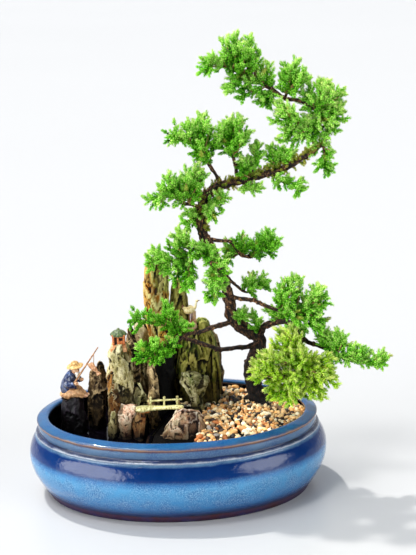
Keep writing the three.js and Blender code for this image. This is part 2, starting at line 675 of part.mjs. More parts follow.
function fisherman() {
  const { x, y, seat } = MAN;
  const legs = [
    limb([
      [x - 6, y + 1, seat + 3, 4.6], [x + 3, y - 7, seat + 7, 3.6], [x + 11, y - 5, seat + 2.5, 2.6],
    ], 5, 10),
    limb([
      [x - 6, y + 3, seat + 3, 4.6], [x + 4, y + 4, seat + 7, 3.6], [x + 12, y - 1, seat + 3, 2.6],
    ], 5, 10),
  ];
  const torso = limb([
    [x - 5, y + 2, seat + 3, 6], [x - 3, y + 1, seat + 14, 7.6], [x - 1, y, seat + 24, 4.6],
    [x + 1, y - 1, seat + 28, 2.4],
  ], 7, 8);
  const head = ball(x + 4, y - 2, seat + 30, 4.4, 4.2, 5, 6, 4);
  const beard = limb([[x + 5.4, y - 3, seat + 29, 2.6], [x + 6, y - 5, seat + 20, 0.5]], 4, 20);
  const arms = [
    limb([
      [x - 4, y - 5, seat + 23, 3.2], [x - 3, y - 9.5, seat + 16, 2.7], [x + 3, y - 9, seat + 17, 2.4],
    ], 5, 10),
    limb([
      [x, y + 4, seat + 22, 3], [x + 6, y + 2, seat + 17, 2.5], [x + 8, y - 5, seat + 20, 2.2],
    ], 5, 10),
  ];
  const hat = ringBody(HAT.length, 9, (row, angle) => {
    const [radius, z] = HAT[row];
    return new THREE.Vector3(x + 3.6 + radius * Math.cos(angle), y - 2 + radius * Math.sin(angle), seat + z);
  }, (row) => new THREE.Vector3(x + 3.6, y - 2, seat + HAT[row][1]));
  return joined([...legs, torso, head, beard, ...arms, hat]);
}

function fishingRod(grow = 0) {
  const { butt, tip, radius, lineFrom, lineTo } = ROD;
  const pole = limb([[...butt, radius], [...tip, radius * 0.6]], 6, 60, grow);
  const line = limb([[...lineFrom, 0.45], [...lineTo, 0.45]], 4, 60, grow);
  return pole.add(line);
}

function fish() {
  const { x, y, z, length, radius } = FISH;
  const body = limb([
    [x - length * 0.36, y, z + 4, radius * 0.5], [x - length * 0.2, y, z + 2.6, radius],
    [x + 1, y, z - 1, radius * 0.95], [x + length * 0.3, y, z - 4, radius * 0.45],
  ], 6, 3);
  const tail = sideProfile([
    [x + 2.6, z - 3.8], [x + 7, z - 4.4], [x + 5.2, z - 6.2], [x + 4.2, z - 9],
  ], y, 1.6);
  return body.add(tail);
}

function crane() {
  const { x, y, foot, baseTop, stumpTop } = CRANE;
  const base = limb([[x, y, foot, 6.4], [x, y, baseTop - 1.5, 6.2], [x, y, baseTop, 4]], 7, 4);
  const stump = limb([[x + 4, y + 2, baseTop - 1, 2.2], [x + 4.5, y + 2, stumpTop, 1.7]], 5, 20);
  const leg = limb([[x, y - 1, baseTop - 1, 1], [x + 0.4, y - 1, stumpTop, 1]], 4, 20);
  const body = limb([
    [x - 5, y, stumpTop + 3.6, 1], [x - 1, y, stumpTop + 0.6, 4.2], [x + 3.4, y, stumpTop + 1.6, 3.6],
    [x + 6, y, stumpTop + 4, 1.6],
  ], 6, 4);
  const wing = sideProfile([
    [x - 6, stumpTop + 8.5], [x - 5.4, stumpTop], [x + 3, stumpTop - 2], [x + 3, stumpTop + 3],
  ], y, 2.4);
  const neck = limb([
    [x + 4.6, y, stumpTop + 2, 1.5], [x + 6.6, y, stumpTop + 6, 0.9], [x + 7.2, y, stumpTop + 9.2, 1.4],
  ], 5, 3);
  return joined([base, stump, leg, body, wing, neck]);
}

// The juniper's wood, larger all round by `grow`

function stub(spine) {
  const curve = new THREE.CatmullRomCurve3(spine.map(vector), false, 'centripetal');
  const reach = Math.min(0.45, STUB_LENGTH / curve.getLength());
  return [0, reach].map((t, i) => [...curve.getPoint(t).toArray(), STUB_RADIUS - 0.4 * i]);
}

function woodLimbs() {
  const limbs = [{ points: TRUNK, sides: 7, spacing: 14 }];
  for (const points of Object.values(BRANCHES)) {
    const sides = points[0][3] > 2.9 ? 5 : 4;
    limbs.push({ points, sides, spacing: 14 });
  }
  for (const { spine, stub: grows } of Object.values(SPRAYS)) {
    if (grows) limbs.push({ points: stub(spine), sides: 3, spacing: 20 });
  }
  return limbs;
}

function wood(grow = 0) {
  return joined(woodLimbs().map(({ points, sides, spacing }) => limb(points, sides, spacing, grow)));
}

// The foliage

const taken = [];

function takeLimb(points, owner, carries = true) {
  for (let i = 1; i < points.length; i++) {
    const [from, to] = [points[i - 1], points[i]];
    taken.push({ line: new THREE.Line3(vector(from), vector(to)), sizes: [from[3], to[3]], owner, carries });
  }
}

// True where a limb that tapers from one size to another keeps clear of the wood, rocks and other sprays.
function isClear(from, to, sizes, owner) {
  const near = new THREE.Vector3();
  const steps = Math.ceil(from.distanceTo(to) / 1.5);
  for (let i = 1; i <= steps; i++) {
    const point = from.clone().lerp(to, i / steps);
    const margin = THREE.MathUtils.lerp(...sizes, i / steps) + FOLIAGE_CLEARANCE;
    if (point.z < POT_HEIGHT + 4) return false;
    if (Object.values(ROCKS).some((stone) => nearRock(stone, point, margin + 1))) return false;
    for (const other of taken) {
      if (other.owner === owner || (other.owner === 'wood' && point.distanceTo(from) < 7)) continue;
      const at = other.line.closestPointToPointParameter(point, true);
      const size = THREE.MathUtils.lerp(...other.sizes, at);
      if (other.line.at(at, near).distanceTo(point) < size + margin) return false;
    }
  }
  return true;
}

// How far a point lies from a lobe's middle, with 1 at the lobe's edge.
function depthIn([x, y, z, rx, ry, rz], point) {
  return Math.hypot((point.x - x) / rx, (point.y - y) / ry, (point.z - z) / rz);
}

// True where a shoot would run along its own core or stem.
function onCarrier(root, outward, owner) {
  const near = new THREE.Vector3();
  const ahead = root.clone().addScaledVector(outward, 5);
  const carriers = taken.filter((other) => other.owner === owner && other.carries);
  return carriers.some((other) => other.line.closestPointToPoint(ahead, true, near).distanceTo(ahead) < 3);
}

// A tuft of pointed shoots: every face of a small knot in the lobe's middle is drawn out to a tip at the
// lobe's edge, or less far where something else is in its way.
function tuft(lobe, others, owner, random) {
  const [x, y, z, ...radii] = lobe;
  const middle = new THREE.Vector3(x, y, z);
  const reach = vector(radii);
  const size = (radii[0] + radii[1] + radii[2]) / 3;
  const knot = size > 15.5 ? new THREE.OctahedronGeometry(1, 1)
    : size > 8.5 ? new THREE.IcosahedronGeometry(1, 0) : new THREE.OctahedronGeometry(1, 0);
  knot.rotateX(random() * 3);
  knot.rotateY(random() * 3);
  const corners = knot.attributes.position;
  const positions = [];
  for (let i = 0; i < corners.count; i += 3) {
    const face = [0, 1, 2].map((k) => new THREE.Vector3().fromBufferAttribute(corners, i + k));
    const outward = face[0].clone().add(face[1]).add(face[2]).normalize();
    const pointAt = (direction, part) => direction.clone().multiply(reach).multiplyScalar(part).add(middle);
    const base = face.map((corner) => pointAt(corner, KNOT_SIZE));
    const root = pointAt(outward, KNOT_SIZE);
    const far = 0.93 + 0.15 * random();
    const tip = onCarrier(root, outward, owner) ? null : [1, 0.85, 0.7, 0.55]
      .map((part) => pointAt(outward, far * part))
      .filter((point) => others.every((other) => depthIn(other, point) > 0.9))
      .find((point) => isClear(root, point, [SHOOT_RADIUS, 0], owner));
    if (!tip) {
      base.forEach((corner) => positions.push(...corner.toArray()));
      continue;
    }
    base.forEach((corner, k) => {
      for (const point of [corner, base[(k + 1) % 3], tip]) positions.push(...point.toArray());
    });
    takeLimb([[...root.toArray(), SHOOT_RADIUS], [...tip.toArray(), 0]], owner, false);
  }
  const geometry = new THREE.BufferGeometry();
  geometry.setAttribute('position', new THREE.Float32BufferAttribute(positions, 3));
  return solidOf(geometry);
}

// The stem that joins the spine to the middle of a lobe that stands off it.
function stemTo([x, y, z], curve) {
  const middle = new THREE.Vector3(x, y, z);
  const start = curve.getSpacedPoints(20).slice(1)
    .reduce((best, point) => (point.distanceTo(middle) < best.distanceTo(middle) ? point : best));
  return [[...start.toArray(), STEM_RADIUS], [...middle.toArray(), STEM_RADIUS]];
}

// One spray: a slim core along the spine and a tuft in each lobe, joined to the core by its own stem.
function spray(name, { spine, lobes, stub: onStub }, seed, woodCutter) {
  const random = randomFrom(seed);
  const curve = new THREE.CatmullRomCurve3(spine.map(vector), false, 'centripetal');
  const core = spine.map((point, i) => (
    [...point, THREE.MathUtils.lerp(CORE_RADIUS, CORE_TIP_RADIUS, i / (spine.length - 1))]
  ));
  if (onStub) {
    const [foot, next] = [vector(spine[0]), vector(spine[1])];
    core[0] = [...foot.lerp(next, CORE_START / foot.distanceTo(next)).toArray(), CORE_RADIUS];
  }
  const solids = [limb(core, 4, 16)];
  takeLimb(core, name);
  for (const lobe of lobes) {
    const stem = stemTo(lobe, curve);
    const length = vector(stem[0]).distanceTo(vector(stem[1]));
    if (length > 3) solids.push(limb(stem, 3, 60));
    takeLimb(stem, name);
    solids.push(tuft(lobe, lobes.filter((other) => other !== lobe), name, random));
  }
  return joined(solids).subtract(woodCutter);
}

// The whole object

const group = new THREE.Group();

function addPart(name, solid, color, roughness, metalness = 0) {
  const material = new THREE.MeshStandardMaterial({ color, roughness, metalness });
  const mesh = new THREE.Mesh(geometryOf(solid), material);
  mesh.name = name;
  group.add(mesh);
}

const cutters = {};
for (const [name, stone] of Object.entries(ROCKS)) cutters[name] = rock(stone, GAP);
const woodCutter = wood(GAP);
const groundCutter = joined([...Object.values(cutters), woodCutter]);

addPart('pot', pot(), 0x2f6fae, 0.18);
addPart('water', water(groundCutter), 0x0d1326, 0.05);
addPart('soil', soil(groundCutter), 0x2a1d14, 0.95);
addPart('gravel', gravel(groundCutter), 0xd0aa78, 0.8);

const potCutter = potShell(GAP);
const placed = [];
for (const [name, stone] of Object.entries(ROCKS)) {
  let solid = rock(stone).subtract(potCutter);
  for (const other of placed) solid = solid.subtract(cutters[other]);
  addPart(`rock_${name}`, solid, stone.color, 0.85);
  placed.push(name);
}

const clearOf = (solid, ...names) => names.reduce((rest, name) => rest.subtract(cutters[name]), solid);
const rodCutter = fishingRod(GAP);

addPart('bridge', clearOf(bridge(), 'post_stone', 'bridge_stone', 'flat_pink'), 0xd9cf92, 0.6);
addPart('house', clearOf(house(), 'left_pillar'), 0xd07a33, 0.6);
addPart('crane', clearOf(crane(), 'right_rock', 'back_slab'), 0xe8dcae, 0.6);
addPart('fisherman', clearOf(fisherman(), 'seat_rock', 'small_left').subtract(rodCutter), 0x2b3a63, 0.5);
addPart('fishing_rod', fishingRod(), 0xb08a5a, 0.7);
addPart('fish', clearOf(fish(), 'small_left').subtract(rodCutter), 0xd9a778, 0.6);
addPart('juniper_wood', wood(), 0x4a2f22, 0.9);

for (const { points } of woodLimbs()) takeLimb(points, 'wood');
Object.entries(SPRAYS).forEach(([name, form], i) => {
  addPart(`foliage_${name}`, spray(name, form, 101 + i, woodCutter), 0x4fa82e, 0.6);
});

export default group;
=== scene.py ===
"""Looks of a juniper bonsai with rocks and small figures in a blue oval land-and-water pot.

The tables are in millimetres in the part's frame: +Z up, +X to the right along the pot's length, +Y to
the back, with the origin in the middle of the pot's underside. Colours are screen colours, 0 to 255.
"""

import math

import bpy
import numpy as np
from mathutils import Matrix, Vector
from mathutils.bvhtree import BVHTree


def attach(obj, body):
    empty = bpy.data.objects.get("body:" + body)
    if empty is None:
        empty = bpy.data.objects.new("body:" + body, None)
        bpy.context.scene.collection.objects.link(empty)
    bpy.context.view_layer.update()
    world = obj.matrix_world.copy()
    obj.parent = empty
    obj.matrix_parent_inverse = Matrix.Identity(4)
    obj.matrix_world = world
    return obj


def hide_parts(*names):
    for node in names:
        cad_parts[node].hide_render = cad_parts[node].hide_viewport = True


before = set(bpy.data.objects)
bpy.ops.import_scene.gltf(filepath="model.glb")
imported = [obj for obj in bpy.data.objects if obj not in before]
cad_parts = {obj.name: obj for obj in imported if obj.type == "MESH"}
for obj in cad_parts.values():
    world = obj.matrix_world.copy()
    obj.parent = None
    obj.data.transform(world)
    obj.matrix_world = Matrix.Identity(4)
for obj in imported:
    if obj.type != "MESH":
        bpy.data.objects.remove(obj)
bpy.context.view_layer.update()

# Driving dimensions

MM = 0.001
TURN = 2 * math.pi
ANY_TURN = 6.3  # the upper end of a random angle

POT_LENGTH = 300
POT_WIDTH = 212
POT_SIDES = 160
GLAZE_TOP = 82
INSIDE_ROW = 46  # the row of POT_WALL where the pot's inside begins

WATER_TOP = 58
WATER_DEPTH = 6
WATER_INSET = 10.6
DAM_LINE = [[-34, -110], [-28, -60], [-25, -30], [-13, 8], [-8, 42], [-4, 110]]

BED_TOP = 72.0
BED_BOTTOM = 68.4
BED_INSET = 18
GRAVEL_EDGE = [[-110, 17], [-64, 18], [-40, 23], [-15, 27], [12, 27], [22, 24], [32, 0], [60, -7], [110, -4]]
PEBBLES_AT_MOST = 1900
PEBBLE_TRIES = 50000
PEBBLE_INSET = 20.5
PEBBLE_REACH = 86
PEBBLE_SPACING = 0.74

ROCK_FOOT = 56
CHIP_LIMIT = 3.8
LAYERED_ROCKS = ("tall_peak", "back_slab", "right_rock")
PILLAR_LIFT = 5.0
BOOT_FLARE = 0.35
CAVE_TOP = 146  # the top of the painted shade in the hollow low on the tall peak

LEAVES_FROM = 83  # no leaf hangs lower than this
WHORL_SPACING = 1.75
TWIG_SPACING = 2.7
TWIG_AREA = 178  # of a lobe's surface for each twig
SPROUTS_FROM = 262  # the trunk's height where small shoots sprout from the bark
DRY = 0.6

CAMERA_TARGET = (35.79, 0, 217.35)
CAMERA_DISTANCE = 1200
CAMERA_TILT = 15.627
CAMERA_ROLL = -1.922
CAMERA_SENSOR = 36
CAMERA_LENS = 1228.4 / 555 * CAMERA_SENSOR  # the focal length over the picture's height, both in pixels
FLOOR_REACH = 40.0  # in metres

# The pot's wall as [inset from the widest outline, height], from the underside over the rim to the floor.

POT_WALL = [
    [40, 1.2], [31, 1.2], [29.5, 0.3], [28, 0], [18.6, 0], [17.7, 0.4], [17.3, 1.5], [16.3, 4], [15.3, 5.2],
    [12.6, 9], [9.6, 14], [6.3, 19.5], [3.8, 24.5], [2.0, 29], [0.8, 34], [0.15, 38.5], [0, 42], [0.25, 46],
    [0.8, 49.5], [1.6, 52.5], [3.0, 56.2], [4.8, 59.6], [6.5, 62.1], [8.0, 63.4], [7.9, 64.1], [7.3, 64.6],
    [7.2, 65.2], [7.5, 65.8], [8.6, 66.2], [10.4, 66.8], [11.0, 67.7], [10.7, 69], [10.3, 71.5], [10.4, 74],
    [10.8, 75.3], [10.2, 76.0], [9.5, 76.8], [9.2, 77.7], [9.4, 78.6], [10.3, 79.2], [12, 79.7], [15, 80.4],
    [17.6, 81.0], [19.2, 81.1], [20.5, 80.6], [21.2, 79.3], [20.9, 77], [17, 70], [10.5, 57], [10.2, 50],
    [12, 34], [15, 17], [20, 12], [31, 9],
]

# The trunk's centre line from root to crown as [x, y, z, radius].

TRUNK = [
    [84, 38, 56, 9.5], [84, 38, 68, 9.3], [82, 36, 80, 8], [79, 34, 94, 7.2], [77, 32, 110, 6.8],
    [81, 30, 126, 6.5], [86, 28, 138, 6.3], [83, 27, 147, 6.2], [75, 25, 153, 6], [65, 22, 160, 5.8],
    [59, 20, 170, 5.4], [56, 17, 190, 5], [53, 16, 204, 4.8], [49, 12, 222, 4.7], [43, 11, 236, 4.6],
    [35, 9, 252, 4.6], [31, 8, 266, 4.6], [31, 8, 281, 4.5], [36, 9, 295, 4.4], [46, 11, 304, 4.1],
    [62, 13, 308, 3.8], [82, 16, 312, 3.4], [99, 16, 316, 3.1], [114, 14, 321, 2.8], [130, 11, 330, 2.5],
    [144, 8, 340, 2.2], [152, 7, 347, 2],
]

# The woody branches as [x, y, z, radius].

BRANCHES = {
    "crown": [
        [149, 8, 344, 2], [154, 5, 354, 2], [152, 4, 365, 1.9], [145, 5, 375, 1.8], [137, 7, 382, 1.8],
        [126, 10, 386, 1.8], [114, 12, 388, 1.7], [105, 12, 395, 1.7], [97, 12, 400, 1.6], [86, 11, 406, 1.4],
    ],
    "low_left_front": [
        [60, 20, 166, 3], [48, 14, 164, 2.2], [37, 8, 163, 2], [26, 2, 161, 1.9], [16, -4, 162, 1.8],
        [3, -11, 156, 1.6], [-6, -17, 149, 1.4],
    ],
    "low_left_back": [
        [84, 29, 137, 3.4], [74, 25, 136, 2.4], [65, 22, 137, 2.2], [55, 18, 137, 2.1], [45, 14, 138, 2],
        [36, 10, 143, 2], [26, 6, 148, 1.9], [16, 2, 153, 1.8], [9, -1, 158, 1.6], [-1, -5, 167, 1.4],
    ],
    "right": [
        [56, 17, 192, 3], [66, 10, 192, 1.9], [76, 4, 192, 1.8], [83, 0, 191, 1.7], [90, -3, 188, 1.7],
        [99, -6, 185, 1.6], [109, -8, 182, 1.4],
    ],
    "fork": [
        [84, 27, 146, 3.6], [90, 24, 156, 3.2], [96, 20, 161, 3], [104, 17, 164, 2.8], [114, 12, 165, 2.5],
        [120, 6, 160, 2.2], [129, -2, 150, 2], [142, -7, 146, 1.8], [154, -10, 140, 1.6],
        [165, -12, 135, 1.3],
    ],
    "bush": [[125, 2, 154, 1.9], [126, -5, 147, 1.8], [124, -15, 135, 1.7], [121, -22, 128, 1.4]],
    "centre": [[43, 11, 238, 2.4], [38, 0, 241, 1.5], [36, -8, 242, 1.3]],
    "big_left": [[34, 9, 253, 2.2], [25, 4, 247, 1.5], [15, -2, 240, 1.3]],
    "left": [[31, 8, 285, 2], [22, 2, 290, 1.3], [15, -2, 292, 1.2]],
    "right_small": [
        [36, 9, 254, 2.2], [49, 16, 250, 1.6], [59, 19, 248, 1.5], [64, 20, 242, 1.5], [69, 22, 233, 1.4],
        [79, 24, 230, 1.2],
    ],
    "right_thin": [[55, 16, 212, 1.8], [63, 12, 205, 1.2], [72, 11, 198, 1.1]],
    "upper_left": [[52, 12, 306, 2.2], [45, 8, 320, 1.5], [38, 3, 332, 1.3]],
    "upper_right": [[69, 14, 309, 2.2], [66, 10, 323, 1.5], [64, 7, 334, 1.3]],
    "root_front": [[86, 36, 78, 4.5], [92, 22, 71, 3.4], [100, 8, 64, 1.8]],
    "root_right": [[88, 38, 78, 4.5], [100, 34, 71, 3.4], [113, 34, 63, 1.8]],
    "root_left": [[80, 38, 78, 4.5], [68, 42, 71, 3.2], [58, 50, 63, 1.6]],
}

# The leafy sprays: the spine, and the lobes of twig tips as [x, y, z, half length in x, in y, in z].

SPRAYS = {
    "crown_tip": (
        [[102, 12, 397], [93, 12, 402], [82, 11, 408], [70, 9, 414], [56, 6, 421], [44, 4, 423]],
        [[71, 7, 431, 19, 18, 19], [43, 2, 422, 12, 11, 12], [70, 2, 399, 17, 10, 9], [94, 2, 386, 9, 6, 6],
         [97, 13, 409, 8, 10, 12]],
    ),
    "crown_middle": ([[114, 12, 388], [119, 12, 398], [123, 12, 406]], [[123, 12, 407, 15, 14, 17]]),
    "crown_right": (
        [[142, 5, 377], [150, 5, 384], [154, 6, 391]],
        [[148, 6, 389, 20, 20, 18], [161, 4, 370, 12, 14, 15]],
    ),
    "crown_inner": (
        [[153, 4, 361], [142, -2, 362], [131, -6, 366], [119, -8, 371]],
        [[112, -8, 376, 12, 12, 12], [118, -8, 355, 12, 10, 10], [139, -4, 359, 15, 10, 14]],
    ),
    "crown_hanging": ([[150, 7, 344], [151, 8, 334], [151, 8, 321]], [[149, 8, 330, 12, 12, 19]]),
    "under_right": (
        [[99, 16, 316], [107, 10, 310], [118, 6, 305], [127, 4, 299]],
        [[118, 4, 305, 16, 8, 10]],
    ),
    "under_middle": ([[70, 14, 309], [76, 9, 305], [85, 8, 302]], [[83, 8, 303, 10, 6, 4]]),
    "top_left": (
        [[80, 15, 312], [83, 12, 324], [86, 12, 336]],
        [[87, 12, 337, 6, 8, 13], [73, 5, 326, 10, 7, 7]],
    ),
    "top_right": (
        [[101, 16, 317], [105, 18, 325], [110, 18, 333]],
        [[102, 18, 333, 8, 8, 11], [117, 18, 333, 7, 8, 8]],
    ),
    "upper_left": (
        [[42, 6, 326], [38, 3, 333], [30, 0, 345], [18, -3, 354], [6, -4, 358]],
        [[5, -4, 359, 10, 12, 11], [31, -2, 355, 16, 18, 21]],
    ),
    "upper_right": ([[65, 9, 327], [63, 7, 339], [61, 6, 352]], [[63, 6, 354, 17, 18, 20]]),
    "left": (
        [[20, 1, 291], [15, -2, 292], [6, -6, 299], [-4, -8, 302], [-13, -11, 298]],
        [[3, -8, 311, 12, 13, 14], [25, -4, 315, 13, 14, 16], [-11, -12, 297, 11, 9, 8]],
    ),
    "tuft_left": ([[31, 8, 281], [25, 5, 278], [19, 4, 270]], [[20, 4, 274, 9, 9, 14]]),
    "tuft_right": (
        [[34, 9, 290], [42, 4, 292], [51, 3, 296]],
        [[48, 3, 294, 12, 9, 9], [42, -3, 280, 6, 7, 8]],
    ),
    "big_left": (
        [[20, 1, 243], [15, -2, 240], [5, -6, 238], [-6, -9, 237], [-16, -10, 236]],
        [[-14, -10, 238, 12, 14, 15], [6, -6, 251, 13, 14, 15], [11, -10, 221, 13, 14, 16]],
    ),
    "centre": (
        [[38, 0, 241], [36, -9, 242], [40, -15, 233], [43, -18, 220], [43, -19, 208]],
        [[31, -14, 247, 13, 12, 12], [45, -15, 229, 13, 12, 12], [42, -19, 208, 13, 12, 14]],
    ),
    "right_small": (
        [[72, 23, 232], [79, 24, 230], [88, 24, 235], [98, 24, 241]],
        [[95, 24, 241, 14, 14, 15], [71, 20, 247, 9, 8, 6]],
    ),
    "right_small_inner": ([[68, 22, 236], [62, 27, 231], [57, 29, 231]], [[57, 28, 233, 8, 7, 12]]),
    "right_thin": ([[69, 11, 200], [74, 11, 198], [80, 12, 201], [90, 12, 209]], [[84, 12, 205, 14, 11, 12]]),
    "right_pad": (
        [[104, -7, 184], [110, -8, 181], [121, -8, 183], [133, -7, 187], [144, -5, 191]],
        [[115, -8, 205, 11, 14, 16], [123, -8, 184, 18, 16, 13], [143, -4, 194, 13, 14, 14],
         [142, -6, 171, 10, 12, 12]],
    ),
    "fork_pad": (
        [[112, 13, 165], [118, 17, 163], [123, 17, 157]],
        [[123, 14, 158, 10, 8, 9], [101, 25, 172, 9, 7, 6]],
    ),
    "far_right": (
        [[160, -11, 137], [166, -12, 134], [175, -12, 130], [189, -12, 128], [206, -12, 128]],
        [[162, -10, 151, 11, 10, 14], [145, -6, 156, 5, 6, 8], [183, -12, 141, 11, 8, 8],
         [198, -12, 132, 14, 8, 9], [156, -14, 135, 8, 6, 5]],
    ),
    "bush": (
        [[124, -17, 133], [121, -23, 127], [111, -29, 121], [99, -32, 119]],
        [[110, -14, 155, 13, 14, 14], [119, -28, 138, 15, 14, 14], [144, -22, 133, 11, 9, 10],
         [87, -34, 133, 15, 15, 19], [145, -30, 117, 17, 12, 10], [134, -30, 103, 12, 9, 8],
         [95, -30, 107, 10, 10, 9], [113, -34, 101, 6, 7, 9], [116, -36, 120, 12, 11, 11]],
    ),
    "low_left_back": (
        [[6, -2, 161], [-1, -5, 167], [-14, -9, 175], [-28, -12, 179], [-40, -12, 179]],
        [[-31, -12, 181, 13, 12, 12], [-5, -8, 184, 8, 10, 12], [8, -5, 168, 10, 8, 9]],
    ),
    "low_left_front": (
        [[0, -13, 154], [-6, -17, 149], [-16, -22, 145], [-27, -24, 148]],
        [[-22, -23, 151, 16, 12, 14], [-1, -18, 157, 5, 6, 6]],
    ),
    "shoot_high": ([[82, 26, 148], [82, 23, 158], [81, 22, 168]], [[81, 22, 165, 5, 5, 10]]),
    "shoot_low": ([[62, 21, 163], [65, 17, 169], [68, 15, 173]], [[67, 15, 173, 5, 4, 4]]),
}

# The rocks as (material, slot, voxel size of the skin, strength of the relief).

ROCKS = {
    "tall_peak": ("olive_rock", "rock_olive", 1.15, 1.0), "back_slab": ("dark_rock", "rock_dark", 1.3, 0.9),
    "right_rock": ("mossy_rock", "rock_olive", 1.15, 1.0),
    "right_rock_back": ("brown_rock", "rock_brown", 1.3, 0.8),
    "boot_stone": ("grey_rock", "rock_olive", 0.75, 0.7),
    "left_pillar": ("pale_rock", "rock_pale", 0.95, 0.8),
    "small_left": ("brown_rock", "rock_brown", 0.85, 0.8), "seat_rock": ("purple_rock_in_shade", "rock_dark", 1.1, 0.8),
    "brown_back": ("brown_rock", "rock_brown", 1.2, 0.7), "cream_back": ("pale_rock", "rock_pale", 1.2, 0.7),
    "middle_left": ("grey_rock", "rock_olive", 0.8, 0.6),
    "middle_right": ("brown_rock", "rock_pale", 1.0, 0.6),
    "middle_front": ("brown_rock", "rock_olive", 0.9, 0.5), "flat_pink": ("pink_rock", "rock_pink", 0.8, 0.5),
    "post_stone": ("rust_rock", "rock_brown", 0.8, 0.5), "thin_left": ("grey_rock", "rock_brown", 0.8, 0.5),
    "bridge_stone": ("pink_rock", "rock_pink", 1.0, 0.8),
}

# The stones' colours: dark, middle, light and stain, then where the stain begins, how far the layers are
# drawn out, the roughness, and the x left of which all is stained.

STONES = {
    "olive_rock": ((70, 80, 6), (192, 188, 76), (248, 242, 168), (226, 146, 34), 0.6, 0.16, 0.8, -19),
    "mossy_rock": ((32, 38, 4), (136, 140, 42), (216, 208, 116), (82, 112, 18), 0.54, 0.2, 0.8, None),
    "dark_rock": ((26, 28, 4), (116, 112, 38), (204, 194, 106), (56, 48, 16), 0.6, 0.16, 0.8, None),
    # The seat rock: its own dark purple stone, darkened nearly to black as painted shade.
    "purple_rock_in_shade": ((2, 1, 5), (9, 5, 13), (34, 22, 38), (20, 7, 15), 0.6, 0.22, 0.42, None),
    "pale_rock": ((66, 58, 24), (176, 164, 104), (244, 234, 190), (160, 108, 48), 0.56, 0.7, 0.8, None),
    "grey_rock": ((50, 52, 22), (178, 176, 116), (250, 244, 198), (112, 122, 60), 0.56, 0.7, 0.8, None),
    "brown_rock": ((24, 15, 7), (126, 100, 64), (238, 210, 160), (48, 30, 16), 0.56, 0.7, 0.8, None),
    "rust_rock": ((78, 34, 12), (200, 128, 70), (246, 206, 154), (112, 54, 22), 0.6, 0.7, 0.8, None),
    "pink_rock": ((112, 64, 52), (246, 198, 170), (255, 244, 226), (196, 138, 112), 0.6, 0.7, 0.8, None),
}

# The fired clays and small woods: dark, middle and light colour, roughness, grains in a metre, coat.

CLAYS = {
    "bridge_clay": ((120, 104, 50), (204, 196, 126), (240, 236, 186), 0.4, 500, 0.3),
    "bridge_underside": ((120, 60, 22), (190, 112, 50), (226, 166, 96), 0.5, 500, 0.0),
    "pavilion_walls": ((132, 54, 16), (206, 108, 44), (240, 160, 84), 0.4, 500, 0.5),
    # Painted shade: the near-black block inside the pavilion.
    "pavilion_painted_shade": ((14, 6, 4), (34, 14, 8), (60, 26, 14), 0.8, 400, 0.0),
    "pavilion_base": ((170, 92, 44), (228, 160, 104), (246, 208, 160), 0.5, 400, 0.0),
    "pavilion_roof": ((30, 40, 20), (84, 104, 60), (150, 160, 104), 0.5, 380, 0.0),
    "crane_cream": ((196, 158, 92), (246, 224, 158), (255, 250, 220), 0.4, 500, 0.3),
    "crane_marks": ((40, 24, 14), (110, 66, 36), (170, 110, 66), 0.5, 500, 0.0),
    "crane_base": ((132, 92, 60), (206, 164, 120), (238, 214, 178), 0.6, 260, 0.0),
    "jacket_glaze": ((6, 10, 26), (22, 34, 74), (96, 116, 156), 0.3, 260, 0.6),
    "trousers_clay": ((120, 78, 44), (196, 146, 96), (230, 192, 144), 0.55, 300, 0.0),
    "face_clay": ((150, 96, 60), (214, 164, 122), (240, 208, 172), 0.5, 400, 0.0),
    "beard_clay": ((180, 164, 140), (232, 224, 208), (252, 250, 244), 0.6, 600, 0.0),
    "eye_glaze": ((8, 6, 6), (16, 12, 12), (30, 24, 22), 0.3, 420, 0.0),
    "straw_hat": ((120, 82, 36), (206, 162, 92), (238, 208, 146), 0.6, 500, 0.0),
    "rod_wood": ((92, 56, 30), (168, 118, 74), (214, 170, 124), 0.6, 300, 0.0),
    "fish_clay": ((150, 82, 44), (222, 160, 110), (246, 208, 166), 0.4, 500, 0.4),
    "twig_bark": ((84, 62, 34), (146, 118, 62), (204, 180, 118), 0.8, 420, 0.0),
}

# The leaves' colours at a shoot's root, middle and tip; the root's dark colour is also the painted shade deep
# in the foliage.

LEAVES = {
    "green_leaves": ((14, 102, 14), (146, 238, 54), (242, 255, 168)),
    # The bush's leaves: partly its own lighter young foliage and partly painted light.
    "bright_leaves": ((66, 168, 6), (214, 255, 48), (255, 255, 172)),
    "branch_leaves": ((64, 92, 10), (166, 176, 52), (236, 226, 140)),
}

# The sprays' leaves: colours, a needle's length, width and opening in degrees, the shoot's core, brightness,
# which paints light and shade on the whole spray.

# Painted light and shade: SUNNY sprays are painted lighter, LOW sprays darker.
USUAL = ("green_leaves", 2.6, 1.85, 21, 0.85, 1.15)
SUNNY = ("green_leaves", 2.6, 1.85, 21, 0.85, 1.35)
LOW = ("green_leaves", 2.7, 1.8, 23, 0.85, 0.85)
LEAFAGE = {
    "bush": ("bright_leaves", 3.5, 1.7, 24, 0.75, 1.3),
    "low_left_back": LOW, "low_left_front": LOW, "right_small": LOW,
    "crown_right": SUNNY, "crown_inner": SUNNY,
}
SPROUT = (2.0, 1.3, 26, 0.5)

# The pebbles' colours, each with its share.

PEBBLE_COLOURS = [
    ((244, 220, 172), 5), ((226, 188, 132), 5), ((255, 244, 214), 4), ((204, 152, 92), 3), ((176, 106, 50), 2),
    ((128, 102, 76), 2), ((64, 46, 34), 2.6), ((30, 26, 26), 2.4), ((240, 182, 112), 3), ((150, 142, 134), 1),
]

# The lamps, all suns: where each stands, strength, spread in degrees, linear colour.

LAMPS = {
    "key": ((-0.37, 0.33, 1.0), 2.6, 2.0, (1.0, 0.98, 0.95)),
    "high": ((-0.30, -0.25, 1.0), 1.2, 12, (1.0, 0.99, 0.98)),
    "overhead": ((-0.45, 0.2, 1.0), 1.0, 40, (0.98, 0.99, 1.0)),
    "left": ((-0.85, -0.55, 0.24), 3.9, 50, (0.96, 0.98, 1.0)),
    "right": ((0.73, -0.5, 0.32), 1.8, 38, (0.96, 0.98, 1.0)),
}


# Repeatable noise, from -1 to 1

